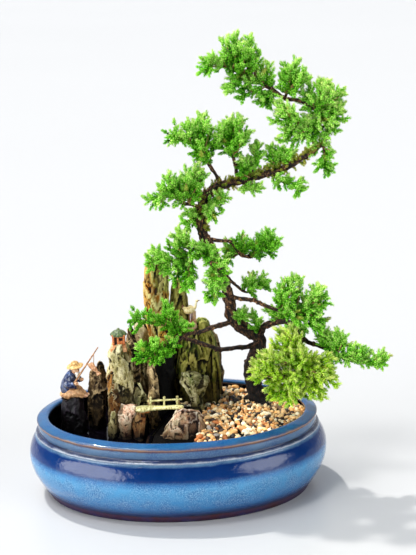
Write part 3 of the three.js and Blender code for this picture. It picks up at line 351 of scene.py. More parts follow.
def lattice(x, y, z, seed):
    mixed = (x * 374761393 + y * 668265263 + z * 2147483647 + seed * 1442695041) & 0xFFFFFFFF
    mixed = ((mixed ^ (mixed >> 13)) * 1274126177) & 0xFFFFFFFF
    mixed = mixed ^ (mixed >> 16)
    return mixed / 2147483648.0 - 1.0


def noise(points, size, seed=0):
    scaled = np.asarray(points, float) / size
    cell = np.floor(scaled).astype(np.int64)
    part = scaled - cell
    part = part * part * (3 - 2 * part)
    total = np.zeros(len(scaled))
    for corner in range(8):
        step = [corner & 1, corner >> 1 & 1, corner >> 2 & 1]
        weight = np.ones(len(scaled))
        for axis in range(3):
            weight = weight * (part[:, axis] if step[axis] else 1 - part[:, axis])
        total += weight * lattice(cell[:, 0] + step[0], cell[:, 1] + step[1], cell[:, 2] + step[2], seed)
    return total


def rough(points, size, octaves, seed=0):
    total = np.zeros(len(points))
    for octave in range(octaves):
        total += noise(points, np.asarray(size, float) / 2 ** octave, seed + 17 * octave) / 2 ** octave
    return total


# Meshes from arrays of corners in millimetres and triangles

def merged(parts):
    corners, triangles, shift = [], [], 0
    for points, faces in parts:
        corners.append(points)
        triangles.append(faces + shift)
        shift += len(points)
    return np.concatenate(corners), np.concatenate(triangles)


def unit_of(vector):
    return vector / np.linalg.norm(vector)


def angles_round(count):
    return np.linspace(0, TURN, count, endpoint=False)


def tube(rings):
    """A skin over rings of corners, an array of rows by sides by 3, with a middle point at each end."""
    rows, sides = rings.shape[:2]
    index = np.arange(rows * sides).reshape(rows, sides)
    ahead = np.roll(index, -1, 1)
    first, last = np.full(sides, rows * sides), np.full(sides, rows * sides + 1)
    faces = [
        np.stack([index[:-1], ahead[:-1], ahead[1:]], -1).reshape(-1, 3),
        np.stack([index[:-1], ahead[1:], index[1:]], -1).reshape(-1, 3),
        np.stack([first, ahead[0], index[0]], -1), np.stack([last, index[-1], ahead[-1]], -1),
    ]
    points = np.concatenate([rings.reshape(-1, 3), [rings[0].mean(0), rings[-1].mean(0)]])
    return points, np.concatenate(faces)


def smooth_line(points, spacing):
    """Even rows along a smooth curve through the given rows, and each one's distance along it."""
    knots = np.asarray(points, float)
    padded = np.concatenate([[2 * knots[0] - knots[1]], knots, [2 * knots[-1] - knots[-2]]])
    fine = []
    for i in range(1, len(padded) - 2):
        a, b, c, d = padded[i - 1:i + 3]
        t = np.linspace(0, 1, 17)[:, None][:-1]
        fine.append(0.5 * (2 * b + (c - a) * t + (2 * a - 5 * b + 4 * c - d) * t ** 2
                           + (3 * b - a - 3 * c + d) * t ** 3))
    fine = np.concatenate(fine + [knots[-1:]])
    lengths = np.concatenate([[0], np.cumsum(np.linalg.norm(np.diff(fine[:, :3], axis=0), axis=1))])
    count = max(3, int(round(lengths[-1] / spacing)) + 1)
    wanted = np.linspace(0, lengths[-1], count)
    return np.stack([np.interp(wanted, lengths, fine[:, k]) for k in range(fine.shape[1])], -1), wanted


def frames_along(line):
    """Two directions across the line at each of its points, turning as little as possible."""
    tangents = np.gradient(line, axis=0)
    tangents /= np.linalg.norm(tangents, axis=1)[:, None] + 1e-12
    side = np.array([0.0, 0.0, 1.0]) if abs(tangents[0][2]) < 0.9 else np.array([1.0, 0.0, 0.0])
    sides = []
    for tangent in tangents:
        side = unit_of(side - tangent * side.dot(tangent))
        sides.append(side)
    return np.array(sides), np.cross(tangents, sides)


def limb(points, sides, spacing, bump=None, flat=1.0):
    """A round limb through points [x, y, z, radius]; bump(angle, distance, radius) gives the added height."""
    rows, distance = smooth_line(points, spacing)
    across, over = frames_along(rows[:, :3])
    angle = angles_round(sides)
    radius = rows[:, 3][:, None] * np.ones(sides)
    if bump is not None:
        radius = radius + bump(angle[None, :], distance[:, None], rows[:, 3][:, None])
    cos, sin = np.cos(angle)[None, :, None], np.sin(angle)[None, :, None] * flat
    return tube(rows[:, None, :3] + radius[:, :, None] * (cos * across[:, None] + sin * over[:, None]))


def ball(middle, radii, sides=24, rows=14, turn=None, bump=None):
    """An egg-shaped body; turn is a 3 by 3 rotation and bump(points) an added height on the unit ball."""
    down = np.linspace(0, math.pi, rows + 2)[1:-1]
    around = angles_round(sides)
    unit = np.stack([
        np.sin(down)[:, None] * np.cos(around), np.sin(down)[:, None] * np.sin(around),
        -np.cos(down)[:, None] * np.ones(sides),
    ], -1)
    if bump is not None:
        unit = unit * (1 + bump(unit.reshape(-1, 3)).reshape(rows, sides, 1))
    rings = unit * np.asarray(radii, float)
    if turn is not None:
        rings = rings @ turn.T
    return tube(rings + np.asarray(middle, float))


def slab(middle, sizes, edge=0.5):
    """A block with rounded edges, made of rings round its z axis."""
    half = np.asarray(sizes, float) / 2
    angle = angles_round(32) + math.pi / 32
    ring = np.stack([np.sign(part) * np.abs(part) ** 0.16 for part in (np.cos(angle), np.sin(angle))], -1)
    soft = edge * 0.3
    side = [(t * half[2], 0) for t in np.linspace(-1, 1, 9)[1:-1]]
    rows = [(-half[2], edge), (soft - half[2], soft), *side, (half[2] - soft, soft), (half[2], edge)]
    rings = np.array([
        np.stack([ring[:, 0] * (half[0] - inset), ring[:, 1] * (half[1] - inset), np.full(32, z)], -1)
        for z, inset in rows
    ])
    return tube(rings + np.asarray(middle, float))


def turned(axis, degrees):
    return np.array(Matrix.Rotation(math.radians(degrees), 3, axis))


class Place:
    """Bodies whose points are given from one origin."""

    def __init__(self, *origin):
        self.origin = np.array(origin, float)

    def limb(self, points, *rest):
        return limb([[*(self.origin + point[:3]), point[3]] for point in points], *rest)

    def ball(self, middle, *rest):
        return ball(self.origin + middle, *rest)

    def slab(self, middle, *rest):
        return slab(self.origin + middle, *rest)


# Materials

def linear(*screen):
    """Linear colour of a screen colour, given as red, green and blue or as one grey."""
    parts = [c / 255 for c in (screen if len(screen) == 3 else screen * 3)]
    return [c / 12.92 if c <= 0.04045 else ((c + 0.055) / 1.055) ** 2.4 for c in parts] + [1.0]


class Nodes:
    """The nodes of a material or world; an input is a number, a colour or another node's output."""

    def __init__(self, owner):
        owner.use_nodes = True
        self.owner, self.tree = owner, owner.node_tree

    def feed(self, socket, value):
        if isinstance(value, bpy.types.NodeSocket):
            self.tree.links.new(value, socket)
        else:
            socket.default_value = value

    def add(self, kind, inputs, **settings):
        node = self.tree.nodes.new(kind)
        for key, value in settings.items():
            setattr(node, key, value)
        for key, value in inputs.items():
            self.feed(node.inputs[key], value)
        return node

    def place(self, space="Object"):
        return self.add("ShaderNodeTexCoord", {}).outputs[space]

    def axis(self, letter, space="Object"):
        return self.add("ShaderNodeSeparateXYZ", {"Vector": self.place(space)}).outputs[letter]

    def grain(self, scale, detail=4, stretch=(1, 1, 1), roughness=0.55, warp=0.0):
        """Noise of `scale` waves in a metre, as a number about 0.5."""
        mapping = self.add("ShaderNodeMapping", {"Vector": self.place(), "Scale": stretch})
        return self.add("ShaderNodeTexNoise", {
            "Vector": mapping.outputs["Vector"], "Scale": scale, "Detail": detail, "Roughness": roughness,
            "Distortion": warp,
        }).outputs["Fac"]

    def ramp(self, value, *stops):
        """Colours over a number; a stop is a position with a colour's three numbers or one grey."""
        node = self.add("ShaderNodeValToRGB", {"Fac": value})
        points = node.color_ramp.elements
        while len(points) < len(stops):
            points.new(0.5)
        for point, (position, *colour) in zip(points, stops):
            point.position = position
            point.color = linear(*colour)
        return node.outputs["Color"]

    def mix(self, amount, first, second, kind="MIX"):
        return self.add(
            "ShaderNodeMix", {0: amount, 6: first, 7: second}, data_type="RGBA", blend_type=kind,
        ).outputs[2]

    def times(self, first, second, amount=1.0):
        return self.mix(amount, first, second, "MULTIPLY")

    def maths(self, operation, first, second):
        return self.add("ShaderNodeMath", {0: first, 1: second}, operation=operation).outputs[0]

    def tint(self):
        return self.add("ShaderNodeVertexColor", {}, layer_name="tint").outputs["Color"]

    def tint_parts(self):
        """The tint's three numbers, as the outputs Red, Green and Blue."""
        return self.add("ShaderNodeSeparateColor", {"Color": self.tint()}).outputs

    def bump(self, height, distance, strength):
        node = self.add("ShaderNodeBump", {"Height": height, "Distance": distance, "Strength": strength})
        self.feed(self.tree.nodes["Principled BSDF"].inputs["Normal"], node.outputs["Normal"])

    def finish(self, colour, roughness, **values):
        inputs = self.tree.nodes["Principled BSDF"].inputs
        self.feed(inputs["Base Color"], colour)
        self.feed(inputs["Roughness"], roughness)
        for key, value in values.items():
            inputs[key.replace("_", " ")].default_value = value
        return self.owner


def look(name):
    return Nodes(bpy.data.materials.new(name))


def glaze_material():
    """The tint is 1 inside the pot and on the dam, where the glaze is painted nearly black as painted shade.
    """
    n = look("blue_glaze")
    wobble = n.maths("MULTIPLY", n.maths("SUBTRACT", n.grain(90, 3), 0.5), 0.0022)
    level = n.maths("MULTIPLY", n.maths("ADD", n.axis("Z"), wobble), 1 / (GLAZE_TOP * MM))
    # The glaze's colours by height, partly its own glaze and partly painted light. A painted reflection of the
    # pale floor makes the belly's bottom half light blue, and a painted reflection of the dark room makes its
    # top half deep navy. Painted shade makes a dark navy band just above the foot and darkens the maroon foot.
    # The pale bead line with the dark groove under it is partly thinner glaze on the ridge and partly painted
    # highlight and shade.
    glaze_bands_and_painted_light = n.ramp(
        level, (0.0, 34, 1, 7), (0.085, 72, 6, 16), (0.1, 2, 4, 22), (0.13, 3, 34, 82), (0.23, 36, 108, 162),
        (0.50, 72, 146, 190), (0.56, 40, 112, 166), (0.605, 0, 42, 96), (0.745, 0, 32, 82),
        (0.775, 96, 130, 154), (0.795, 176, 182, 188), (0.808, 50, 56, 76), (0.825, 12, 14, 30),
        (0.84, 66, 94, 122), (0.905, 78, 110, 140), (0.925, 104, 74, 56), (0.945, 150, 112, 82),
        (0.962, 50, 84, 112), (0.975, 30, 88, 132), (1.0, 34, 86, 132),
    )
    speckle = n.ramp(n.grain(900, 2, roughness=0.7), (0.42, 0), (0.72, 255))
    clouds = n.ramp(n.grain(60, 5), (0.35, 0), (0.7, 255))
    # Painted reflection: this mask mixes pale floor blue into the belly's bottom half.
    lower = n.ramp(level, (0.15, 10), (0.3, 160), (0.5, 160), (0.62, 34))
    pale = n.mix(lower, glaze_bands_and_painted_light, linear(190, 220, 238))
    mottled = n.mix(speckle, n.mix(0.55, glaze_bands_and_painted_light, linear(0, 44, 104)), pale)
    # Painted shade: where the tint is 1, inside the pot and on the dam, the glaze is painted nearly black.
    whole = n.mix(n.tint_parts()["Red"], n.mix(clouds, mottled, glaze_bands_and_painted_light), linear(3, 3, 9))
    waves = n.maths("MULTIPLY", n.grain(38, 3, (1, 1, 1.6)), 5.0)
    n.bump(n.maths("ADD", n.grain(260), waves), 0.0004, 0.6)
    dull = n.ramp(level, (0.1, 190), (0.2, 80), (1.0, 80))
    return n.finish(whole, dull, Coat_Weight=0.22, Coat_Roughness=0.14, Specular_IOR_Level=0.3)


def water_material():
    n = look("dark_pool")
    n.bump(n.grain(70, 2), 0.0006, 0.35)
    colour = n.ramp(n.grain(40), (0.35, 3, 2, 6), (0.7, 12, 9, 16))
    return n.finish(colour, 0.08, Specular_IOR_Level=0.2)


# Soil painted nearly black: its own dark brown with painted shade over the hollow by the dam and in the gaps
# between the pebbles.
def shaded_soil_material():
    n = look("soil_painted_shade")
    n.bump(n.grain(500, 5), 0.002, 0.8)
    colour = n.ramp(n.grain(300, 6), (0.3, 2, 1, 1), (0.55, 7, 5, 3), (0.8, 22, 16, 10))
    return n.finish(colour, 0.95, Specular_IOR_Level=0.1)


def pebble_material():
    n = look("pebbles")
    light = n.times(n.tint(), linear(255, 238, 205), 0.55)
    n.bump(n.grain(1200), 0.0004, 0.5)
    return n.finish(n.mix(n.ramp(n.grain(700), (0.35, 0), (0.65, 255)), light, n.tint()), 0.55)


def rock_material(name):
    """A ridged stone; the tint holds how far a point stands out, which gives a painted highlight on edges and
    painted shade in hollows and cracks, its height, which gives painted shade towards the foot and in the tall
    peak's hollow, and its facet's number.
    """
    dark, middle, light, stain, stain_from, drawn_out, roughness, stained_left_of = STONES[name]
    n = look(name)
    layered = drawn_out < 0.4
    streaks = n.grain(230 if layered else 75, 10, (1, 1, drawn_out), 0.72, 0.4)
    colour = n.ramp(streaks, (0.35 if layered else 0.4, *dark), (0.465, *middle), (0.59, *light))
    patches = n.ramp(n.grain(55, 6, (1, 1, 0.5), 0.65), (stain_from - 0.05, 0), (stain_from + 0.05, 255))
    if stained_left_of is not None:
        ragged = n.maths("MULTIPLY", n.maths("SUBTRACT", streaks, 0.5), 0.03)
        past = n.maths("SUBTRACT", stained_left_of * MM, n.maths("ADD", n.axis("X"), ragged))
        side = n.ramp(n.maths("MULTIPLY", past, 260.0), (0.0, 0), (1.0, 225))
        patches = n.mix(1.0, patches, side, "ADD")
    specks = n.ramp(n.grain(800, 6, (1, 1, 0.4 if layered else 0.8), 0.74), (0.4, 40, 34, 24), (0.5, 255))
    fine = n.times(n.mix(patches, colour, linear(*stain)), specks, 0.5)
    tint = n.tint_parts()
    # Painted shade in hollows and cracks, and a painted highlight on standing edges in the light colour.
    painted_hollow_shade = n.ramp(tint["Red"], (0.12, 6, 5, 3), (0.38, 124, 116, 98), (0.48, 255, 255, 250))
    edge = n.ramp(tint["Red"], (0.6, 0), (0.88, 190))
    # Painted shade: darker towards the rock's foot and nearly black in the tall peak's hollow.
    low = n.ramp(
        tint["Green"], (0.0, 5, 4, 3), (0.07, 62, 56, 46), (0.3, 166, 154, 134), (0.5, 242, 238, 230),
        (1.0, 255),
    )
    shady = (128, 120, 92) if layered else (64, 58, 40)
    facets = n.ramp(tint["Blue"], (0.1, *shady), (0.45, 178, 172, 152), (0.8, 255))
    painted_relief_shading = n.mix(edge, n.times(n.times(fine, facets, 0.9), painted_hollow_shade), linear(*light))
    n.bump(n.grain(460, 8, (1, 1, 0.35 if layered else 0.9), 0.7), 0.0007, 0.7)
    return n.finish(n.times(painted_relief_shading, low), roughness, Specular_IOR_Level=0.2)


def bark_material():
    """The tint holds how far a point stands out, which gives painted shade in the bark's hollows; the bark is
    darker towards the foot.
    """
    n = look("bark")
    flakes = n.ramp(
        n.grain(520, 7, (1, 1, 0.7), 0.72, 0.8), (0.38, 6, 3, 2), (0.46, 34, 18, 10), (0.54, 100, 62, 36),
        (0.63, 210, 164, 116),
    )
    # Painted shade: points that stand in less are darker.
    painted_relief_shading = n.times(flakes, n.ramp(n.tint_parts()["Red"], (0.15, 36, 28, 24), (0.6, 255, 244, 230)))
    height = n.maths("MULTIPLY", n.axis("Z"), 1 / 0.3)
    foot = n.ramp(height, (0.25, 70, 60, 54), (0.45, 150, 140, 132), (0.62, 255))
    n.bump(n.grain(700, 6), 0.0012, 1.0)
    return n.finish(n.times(painted_relief_shading, foot), 0.85)


def leaf_material(name):
    """The tint holds how near the shoot's tip a point is, times painted light and shade (darker deep in a
    lobe, at needle bases and on the core, lighter on needle points, upward shoots and sunnier sprays), the
    shoot's own number and how dry it is.
    """
    deep, fresh, tip = LEAVES[name]
    n = look(name)
    tint = n.tint_parts()
    along = n.ramp(tint["Red"], (0.16, *deep), (0.56, *fresh), (1.0, *tip))
    own = n.ramp(tint["Green"], (0.0, 168, 206, 150), (0.4, 236, 248, 210), (1.0, 255, 255, 235))
    colour = n.mix(tint["Blue"], n.times(along, own, 0.8), linear(196, 176, 84))
    spots = n.ramp(n.grain(800, 3), (0.3, 90, 110, 80), (0.6, 255, 255, 240))
    n.bump(n.grain(1500, 3), 0.0002, 0.4)
    return n.finish(n.times(colour, spots, 0.25), 0.55, Specular_IOR_Level=0.1)


def clay(name):
    dark, middle, light, roughness, grains, coat = CLAYS[name]
    n = look(name)
    colour = n.ramp(n.grain(grains, 5, roughness=0.6), (0.32, *dark), (0.5, *middle), (0.7, *light))
    n.bump(n.grain(900), 0.0004, 0.6)
    return n.finish(colour, roughness, Coat_Weight=coat, Coat_Roughness=0.12)


# Pieces

def put(name, data):
    """A new object in the scene."""
    obj = bpy.data.objects.new(name, data)
    bpy.context.scene.collection.objects.link(obj)
    return obj


def piece(name, mesh_data, material, slot, *replaced, tints=None, smooth=True):
    points, triangles = mesh_data
    mesh = bpy.data.meshes.new(name)
    mesh.vertices.add(len(points))
    mesh.vertices.foreach_set("co", (np.asarray(points, np.float64) * MM).astype(np.float32).ravel())
    mesh.loops.add(len(triangles) * 3)
    mesh.loops.foreach_set("vertex_index", np.asarray(triangles, np.int32).ravel())
    mesh.polygons.add(len(triangles))
    mesh.polygons.foreach_set("loop_start", np.arange(0, len(triangles) * 3, 3, dtype=np.int32))
    mesh.update(calc_edges=True)
    if smooth:
        mesh.polygons.foreach_set("use_smooth", np.ones(len(triangles), bool))
    if tints is not None:
        layer = mesh.color_attributes.new("tint", "FLOAT_COLOR", "POINT")
        colours = np.concatenate([np.asarray(tints, np.float32), np.ones((len(points), 1), np.float32)], 1)
        layer.data.foreach_set("color", colours.ravel())
    mesh.materials.append(material)
    obj = put(name, mesh)
    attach(obj, "root")
    if replaced:
        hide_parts(*replaced)


def grey(level):
    """Tints whose three numbers are the same."""
    return np.repeat(level[:, None], 3, 1)


def inside(skins, point, margin=0.0):
    """Whether the point lies in one of the skins or nearer to it than the margin."""
    place = Vector(point) * MM
    for skin in skins:
        near, normal, _, distance = skin.find_nearest(place)
        if near is not None and ((place - near).dot(normal) < 0 or distance < margin * MM):
            return True
    return False


# The pot, the pool and the gravel

def make_pot():
    angle = angles_round(POT_SIDES)
    rings = []
    for inset, z in POT_WALL:
        ring = np.stack([
            (POT_LENGTH / 2 - inset) * np.cos(angle), (POT_WIDTH / 2 - inset) * np.sin(angle),
            np.full(POT_SIDES, float(z)),
        ], -1)
        swell = noise(ring, 26, 5) * 0.22 + noise(ring, 9, 6) * 0.08
        ring[:, :2] *= (1 + swell / 140)[:, None]
        if z > 6:
            ring[:, 2] += noise(ring, 40, 9) * 0.18
        rings.append(ring)
    line, _ = smooth_line([[x, y, 0] for x, y in DAM_LINE], 4)
    line = line[np.abs(line[:, 1]) < 92]
    profile = [[-3.5, 12], [-3.5, 64], [-2.6, 67.2], [0, 68], [2.6, 67.2], [3.5, 64], [3.5, 12]]
    dam = np.array([[[x + dx, y, z] for dx, z in profile] for x, y, _ in line])
    mesh = merged([tube(np.array(rings)), tube(dam[:, ::-1])])
    # Painted shade: this tint marks the pot's inside and the dam for the nearly black glaze.
    painted_shade_inside = np.ones(len(mesh[0]))
    painted_shade_inside[:POT_SIDES * INSIDE_ROW] = 0.0
    piece("glazed_pot", mesh, glaze_material(), "pot_glaze", "pot", tints=grey(painted_shade_inside))


def wall_x(y, inset):
    """How far an oval reaches in x at that y, that much inside the pot's widest outline."""
    return (POT_LENGTH / 2 - inset) * np.sqrt(np.maximum(0, 1 - (y / (POT_WIDTH / 2 - inset)) ** 2))


def dam_x(y):
    table = np.array(DAM_LINE)
    return np.interp(y, table[:, 1], table[:, 0])


def gravel_x(y):
    table = np.array(GRAVEL_EDGE)
    return np.interp(y, table[:, 0], table[:, 1])


def rows_across(count, inset):
    """Values of y from the front to the back of that oval, closer together at its ends."""
    return np.sin(np.linspace(-math.pi / 2, math.pi / 2, count)) * (POT_WIDTH / 2 - inset)


def sheet(ys, left, right, columns, top, bottom, ripple):
    """A low body between a left and a right x at each y, with ripple(points) added to its top."""
    xs = left[:, None] + (right - left)[:, None] * np.linspace(0, 1, columns)[None, :]
    upper = np.stack([xs, np.repeat(ys[:, None], columns, 1), np.full(xs.shape, float(top))], -1)
    upper = upper.reshape(-1, 3)
    upper[:, 2] += ripple(upper)
    under = upper.copy()
    under[:, 2] = bottom
    grid = np.arange(len(upper)).reshape(len(ys), columns)
    a, b, c, d = grid[:-1, :-1], grid[:-1, 1:], grid[1:, 1:], grid[1:, :-1]
    up = np.concatenate([np.stack(corners, -1).reshape(-1, 3) for corners in ([a, b, c], [a, c, d])])
    border = np.concatenate([grid[0], grid[1:, -1], grid[-1, -2::-1], grid[-2:0:-1, 0]])
    ahead, low = np.roll(border, -1), len(upper)
    side = np.concatenate([
        np.stack([border, border + low, ahead + low], -1), np.stack([border, ahead + low, ahead], -1),
    ])
    return np.concatenate([upper, under]), np.concatenate([up, up[:, ::-1] + low, side])


def make_water():
    ys = rows_across(70, WATER_INSET)
    right = dam_x(ys) - 3.4
    left = np.minimum(-wall_x(ys, WATER_INSET), right - 0.2)
    mesh = sheet(ys, left, right, 60, WATER_TOP, WATER_TOP - WATER_DEPTH,
                 lambda p: noise(p, 16, 3) * 0.18 + noise(p, 6, 4) * 0.06)
    piece("pool", mesh, water_material(), "pool_water", "water")


def make_bed():
    """The pebbles' bed, painted nearly black as painted shade in the gaps, from the gravel's edge to the wall.
    """
    ys = rows_across(60, BED_INSET)
    left = np.maximum(dam_x(ys) - 3, gravel_x(ys) - 2)
    right = np.maximum(wall_x(ys, BED_INSET), left + 0.3)
    mesh = sheet(ys, left, right, 70, BED_TOP, BED_BOTTOM,
                 lambda p: noise(p, 22, 11) * 1.0 + noise(p, 5, 12) * 0.5)
    piece("gravel_bed", mesh, shaded_soil_material(), "gravel", "gravel")


def round_stone():
    """A ball of 80 triangles: corners and faces."""
    golden = (1 + 5 ** 0.5) / 2
    corners = [
        [-1, golden, 0], [1, golden, 0], [-1, -golden, 0], [1, -golden, 0], [0, -1, golden], [0, 1, golden],
        [0, -1, -golden], [0, 1, -golden], [golden, 0, -1], [golden, 0, 1], [-golden, 0, -1], [-golden, 0, 1],
    ]
    faces = [
        [0, 11, 5], [0, 5, 1], [0, 1, 7], [0, 7, 10], [0, 10, 11], [1, 5, 9], [5, 11, 4], [11, 10, 2],
        [10, 7, 6], [7, 1, 8], [3, 9, 4], [3, 4, 2], [3, 2, 6], [3, 6, 8], [3, 8, 9], [4, 9, 5], [2, 4, 11],
        [6, 2, 10], [8, 6, 7], [9, 8, 1],
    ]
    points = [unit_of(np.array(c, float)) for c in corners]
    halves, fine = {}, []
    for a, b, c in faces:
        middles = []
        for pair in ((a, b), (b, c), (c, a)):
            pair = tuple(sorted(pair))
            if pair not in halves:
                points.append(unit_of(points[pair[0]] + points[pair[1]]))
                halves[pair] = len(points) - 1
            middles.append(halves[pair])
        ab, bc, ca = middles
        fine += [[a, ab, ca], [ab, b, bc], [ca, bc, c], [ab, bc, ca]]
    return np.array(points), np.array(fine)


def make_pebbles(rocks):
    random = np.random.default_rng(7)
    unit, faces = round_stone()
    weights = np.array([share for _, share in PEBBLE_COLOURS], float)
    palette = np.array([linear(*colour)[:3] for colour, _ in PEBBLE_COLOURS])
    grid, cell, nearby = {}, 3.0, (-2, -1, 0, 1, 2)
    parts, tints = [], []
    for _ in range(PEBBLE_TRIES):
        if len(parts) == PEBBLES_AT_MOST:
            break
        y = random.uniform(-PEBBLE_REACH, PEBBLE_REACH)
        left, right = gravel_x(y), wall_x(y, PEBBLE_INSET)
        x = left + (right - left) * random.random()
        radius = random.uniform(1.4, 2.5) if random.random() < 0.6 else random.uniform(2.5, 3.7)
        column, row = int(x // cell), int(y // cell)
        near = [pebble for i in nearby for j in nearby for pebble in grid.get((column + i, row + j), [])]
        if any((x - px) ** 2 + (y - py) ** 2 < (PEBBLE_SPACING * (radius + pr)) ** 2 for px, py, pr in near):
            continue
        if right < left + 2 or inside(rocks, (x, y, BED_TOP + 1)):
            continue
        grid.setdefault((column, row), []).append((x, y, radius))
        turn = np.array(Matrix.Rotation(random.uniform(0, ANY_TURN), 3, Vector(random.normal(size=3))))
        shape = unit * (1 + 0.16 * random.uniform(-1, 1, (len(unit), 1)))
        shape = shape * random.uniform([0.85, 0.7, 0.55], [1.25, 1.0, 0.85]) * radius
        parts.append((shape @ turn.T + [x, y, BED_TOP + radius * 0.45 + random.uniform(-0.4, 1.0)], faces))
        colour = palette[random.choice(len(palette), p=weights / weights.sum())] * random.uniform(0.85, 1.3)
        tints.append(np.repeat(colour[None, :], len(unit), 0))
    piece("pebbles", merged(parts), pebble_material(), "gravel", tints=np.concatenate(tints))


# The rocks

def fine_skin(node, voxel):
    """The CAD node's skin with even small faces and softened edges, as corners, faces and normals in mm."""
    copy = put("copy", node.data.copy())
    even = copy.modifiers.new("even", "REMESH")
    even.mode = "VOXEL"
    even.voxel_size = voxel * MM
    soft = copy.modifiers.new("soft", "SMOOTH")
    soft.factor = 0.5
    soft.iterations = 3
    graph = bpy.context.evaluated_depsgraph_get()
    mesh = bpy.data.meshes.new_from_object(copy.evaluated_get(graph))
    bpy.data.objects.remove(copy)
    mesh.calc_loop_triangles()
    points, normals = np.empty(len(mesh.vertices) * 3), np.empty(len(mesh.vertices) * 3)
    faces = np.empty(len(mesh.loop_triangles) * 3, np.int32)
    mesh.vertices.foreach_get("co", points)
    mesh.vertices.foreach_get("normal", normals)
    mesh.loop_triangles.foreach_get("vertices", faces)
    bpy.data.meshes.remove(mesh)
    return points.reshape(-1, 3) / MM, faces.reshape(-1, 3), normals.reshape(-1, 3)


def summed(groups, values, count):
    """The rows of values added up for each group."""
    return np.stack([np.bincount(groups, values[:, k], count) for k in range(3)], -1)


def edges_and_hollows(points, faces, normals):
    """How far in mm each corner stands out from its smoothed neighbourhood."""
    pairs = np.concatenate([faces[:, [0, 1]], faces[:, [1, 2]], faces[:, [2, 0]]])
    pairs = np.concatenate([pairs, pairs[:, ::-1]])
    count = np.bincount(pairs[:, 0], minlength=len(points))[:, None]
    level = np.array(points)
    for _ in range(6):
        level = summed(pairs[:, 0], level[pairs[:, 1]], len(points)) / np.maximum(count, 1)
    return ((points - level) * normals).sum(1)


def chip(points, faces, normals, size, share, stretch, seed):
    """Moves the points of each patch about `size` mm wide towards the patch's own plane.

    Also returns a number for each patch and how deep in a crack between two patches each point lies.
    """
    random = np.random.default_rng(seed)
    scaled = points / [1, 1, stretch]
    corners = points[faces]
    normal = np.cross(corners[:, 1] - corners[:, 0], corners[:, 2] - corners[:, 0])
    area = np.linalg.norm(normal, axis=1).sum() / 2
    count = int(np.clip(area / (size ** 2 * stretch), 8, 420))
    hearts = scaled[random.choice(len(points), count, replace=False)]
    squares = (scaled ** 2).sum(1)[:, None] - 2 * scaled @ hearts.T + (hearts ** 2).sum(1)[None, :]
    patch = np.argmin(squares, 1)
    nearest = np.sqrt(np.maximum(np.partition(squares, 1, axis=1)[:, :2], 0))
    crack = np.clip(1 - (nearest[:, 1] - nearest[:, 0]), 0, 1) * np.clip(0.6 + noise(points, 9, seed), 0, 1)
    members = np.maximum(np.bincount(patch, minlength=count), 1)[:, None]
    middle, facing = (summed(patch, values, count) / members for values in (points, normals))
    facing = facing / np.maximum(np.linalg.norm(facing, axis=1, keepdims=True), 0.2)
    facing += random.normal(size=facing.shape) * 0.14
    height = ((points - middle[patch]) * facing[patch]).sum(1)
    moved = points - facing[patch] * (share * np.clip(height, -0.3 * size, 0.3 * size))[:, None]
    numbers = random.random(count)[patch]
    return moved, numbers, crack * (random.random(count)[patch] < 0.5)


def step(values, start, length):
    """From 0 to 1 over that length."""
    return np.clip((values - start) / length, 0, 1)


def make_rocks():
    materials = {name: rock_material(name) for name in STONES}
    for i, (name, (stone, slot, voxel, strength)) in enumerate(ROCKS.items()):
        points, faces, normals = fine_skin(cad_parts["rock_" + name], voxel)
        lean = points + 1.4 * np.stack([noise(points, [14, 14, 30], 30 + i + k) for k in range(3)], -1)
        size, stretch = (8.5, 4.0) if name in LAYERED_ROCKS else (5 + 9 * strength, 1.7)
        shape, number, crack = chip(lean, faces, normals, size, 0.97, stretch, 200 + i)
        shape, fine_number, _ = chip(shape, faces, normals, size * 0.45, 0.5, stretch * 0.8, 300 + i)
        lift = strength * (0.2 * rough(points, [3, 3, 6], 3, 95) + 0.14 * noise(points, [1.6, 1.6, 3], 70 + i))
        lift = lift - crack * (0.6 + 0.9 * strength)
        moved = points + np.clip(shape - lean, -CHIP_LIMIT, CHIP_LIMIT) + normals * lift[:, None]
        if name == "left_pillar":
            moved[:, 2] += PILLAR_LIFT * step(moved[:, 2], 118, 24)
        if name == "boot_stone":
            moved[:, 0] += BOOT_FLARE * (moved[:, 0] - moved[:, 0].mean()) * step(moved[:, 2], 84, 14)
        # The tints paint light: how far a point stands out, lowered in cracks, for painted highlight and
        # shade, and its height, lowered in the tall peak's hollow, for painted shade.
        out = np.clip(0.5 + edges_and_hollows(moved, faces, normals) * 0.5 - 0.45 * crack, 0, 1)
        high = step(moved[:, 2], ROCK_FOOT, max(60.0, moved[:, 2].max() - ROCK_FOOT))
        if name == "tall_peak":
            # Painted shade: the hollow low on the tall peak is painted nearly black.
            painted_cave_shade = np.clip((CAVE_TOP + 0.5 * (moved[:, 0] + 12) - moved[:, 2]) / 8, 0, 1)
            high *= 1 - painted_cave_shade * step(moved[:, 0], -25, 5)
        tints = np.stack([out, high, 0.7 * number + 0.3 * fine_number], -1)
        piece("stone_" + name, (moved, faces), materials[stone], slot, "rock_" + name, tints=tints)


# The juniper's wood

def bark_bump(seed, scale):
    """Fibres, plates and knobs of the bark, as a bump for a limb."""
    random = np.random.default_rng(seed)
    knobs = [(random.uniform(0, TURN), random.uniform(0, 1), random.uniform(0.5, 1.8)) for _ in range(160)]

    def height(angle, distance, radius):
        angle, distance, radius = np.broadcast_arrays(angle, distance, radius)
        skin = np.stack([np.cos(angle).ravel() * 3, np.sin(angle).ravel() * 3, distance.ravel() / 7], -1)
        fibres = rough(skin, 1.2, 3, seed) * 0.24
        plates = np.clip(noise(skin, 0.7, seed + 5) * 3, -1, 1) * 0.1
        total = (fibres + plates).reshape(angle.shape) * radius
        length = distance.max()
        for turn, along, size in knobs[:max(3, int(length / 2.8))]:
            reach = 1.0 + 0.7 * size
            across = ((angle - turn + math.pi) % TURN - math.pi) * radius
            far = across ** 2 + (distance - along * length) ** 2
            total = total + size * scale * np.exp(-far / reach ** 2 * 2)
        return total

    return height


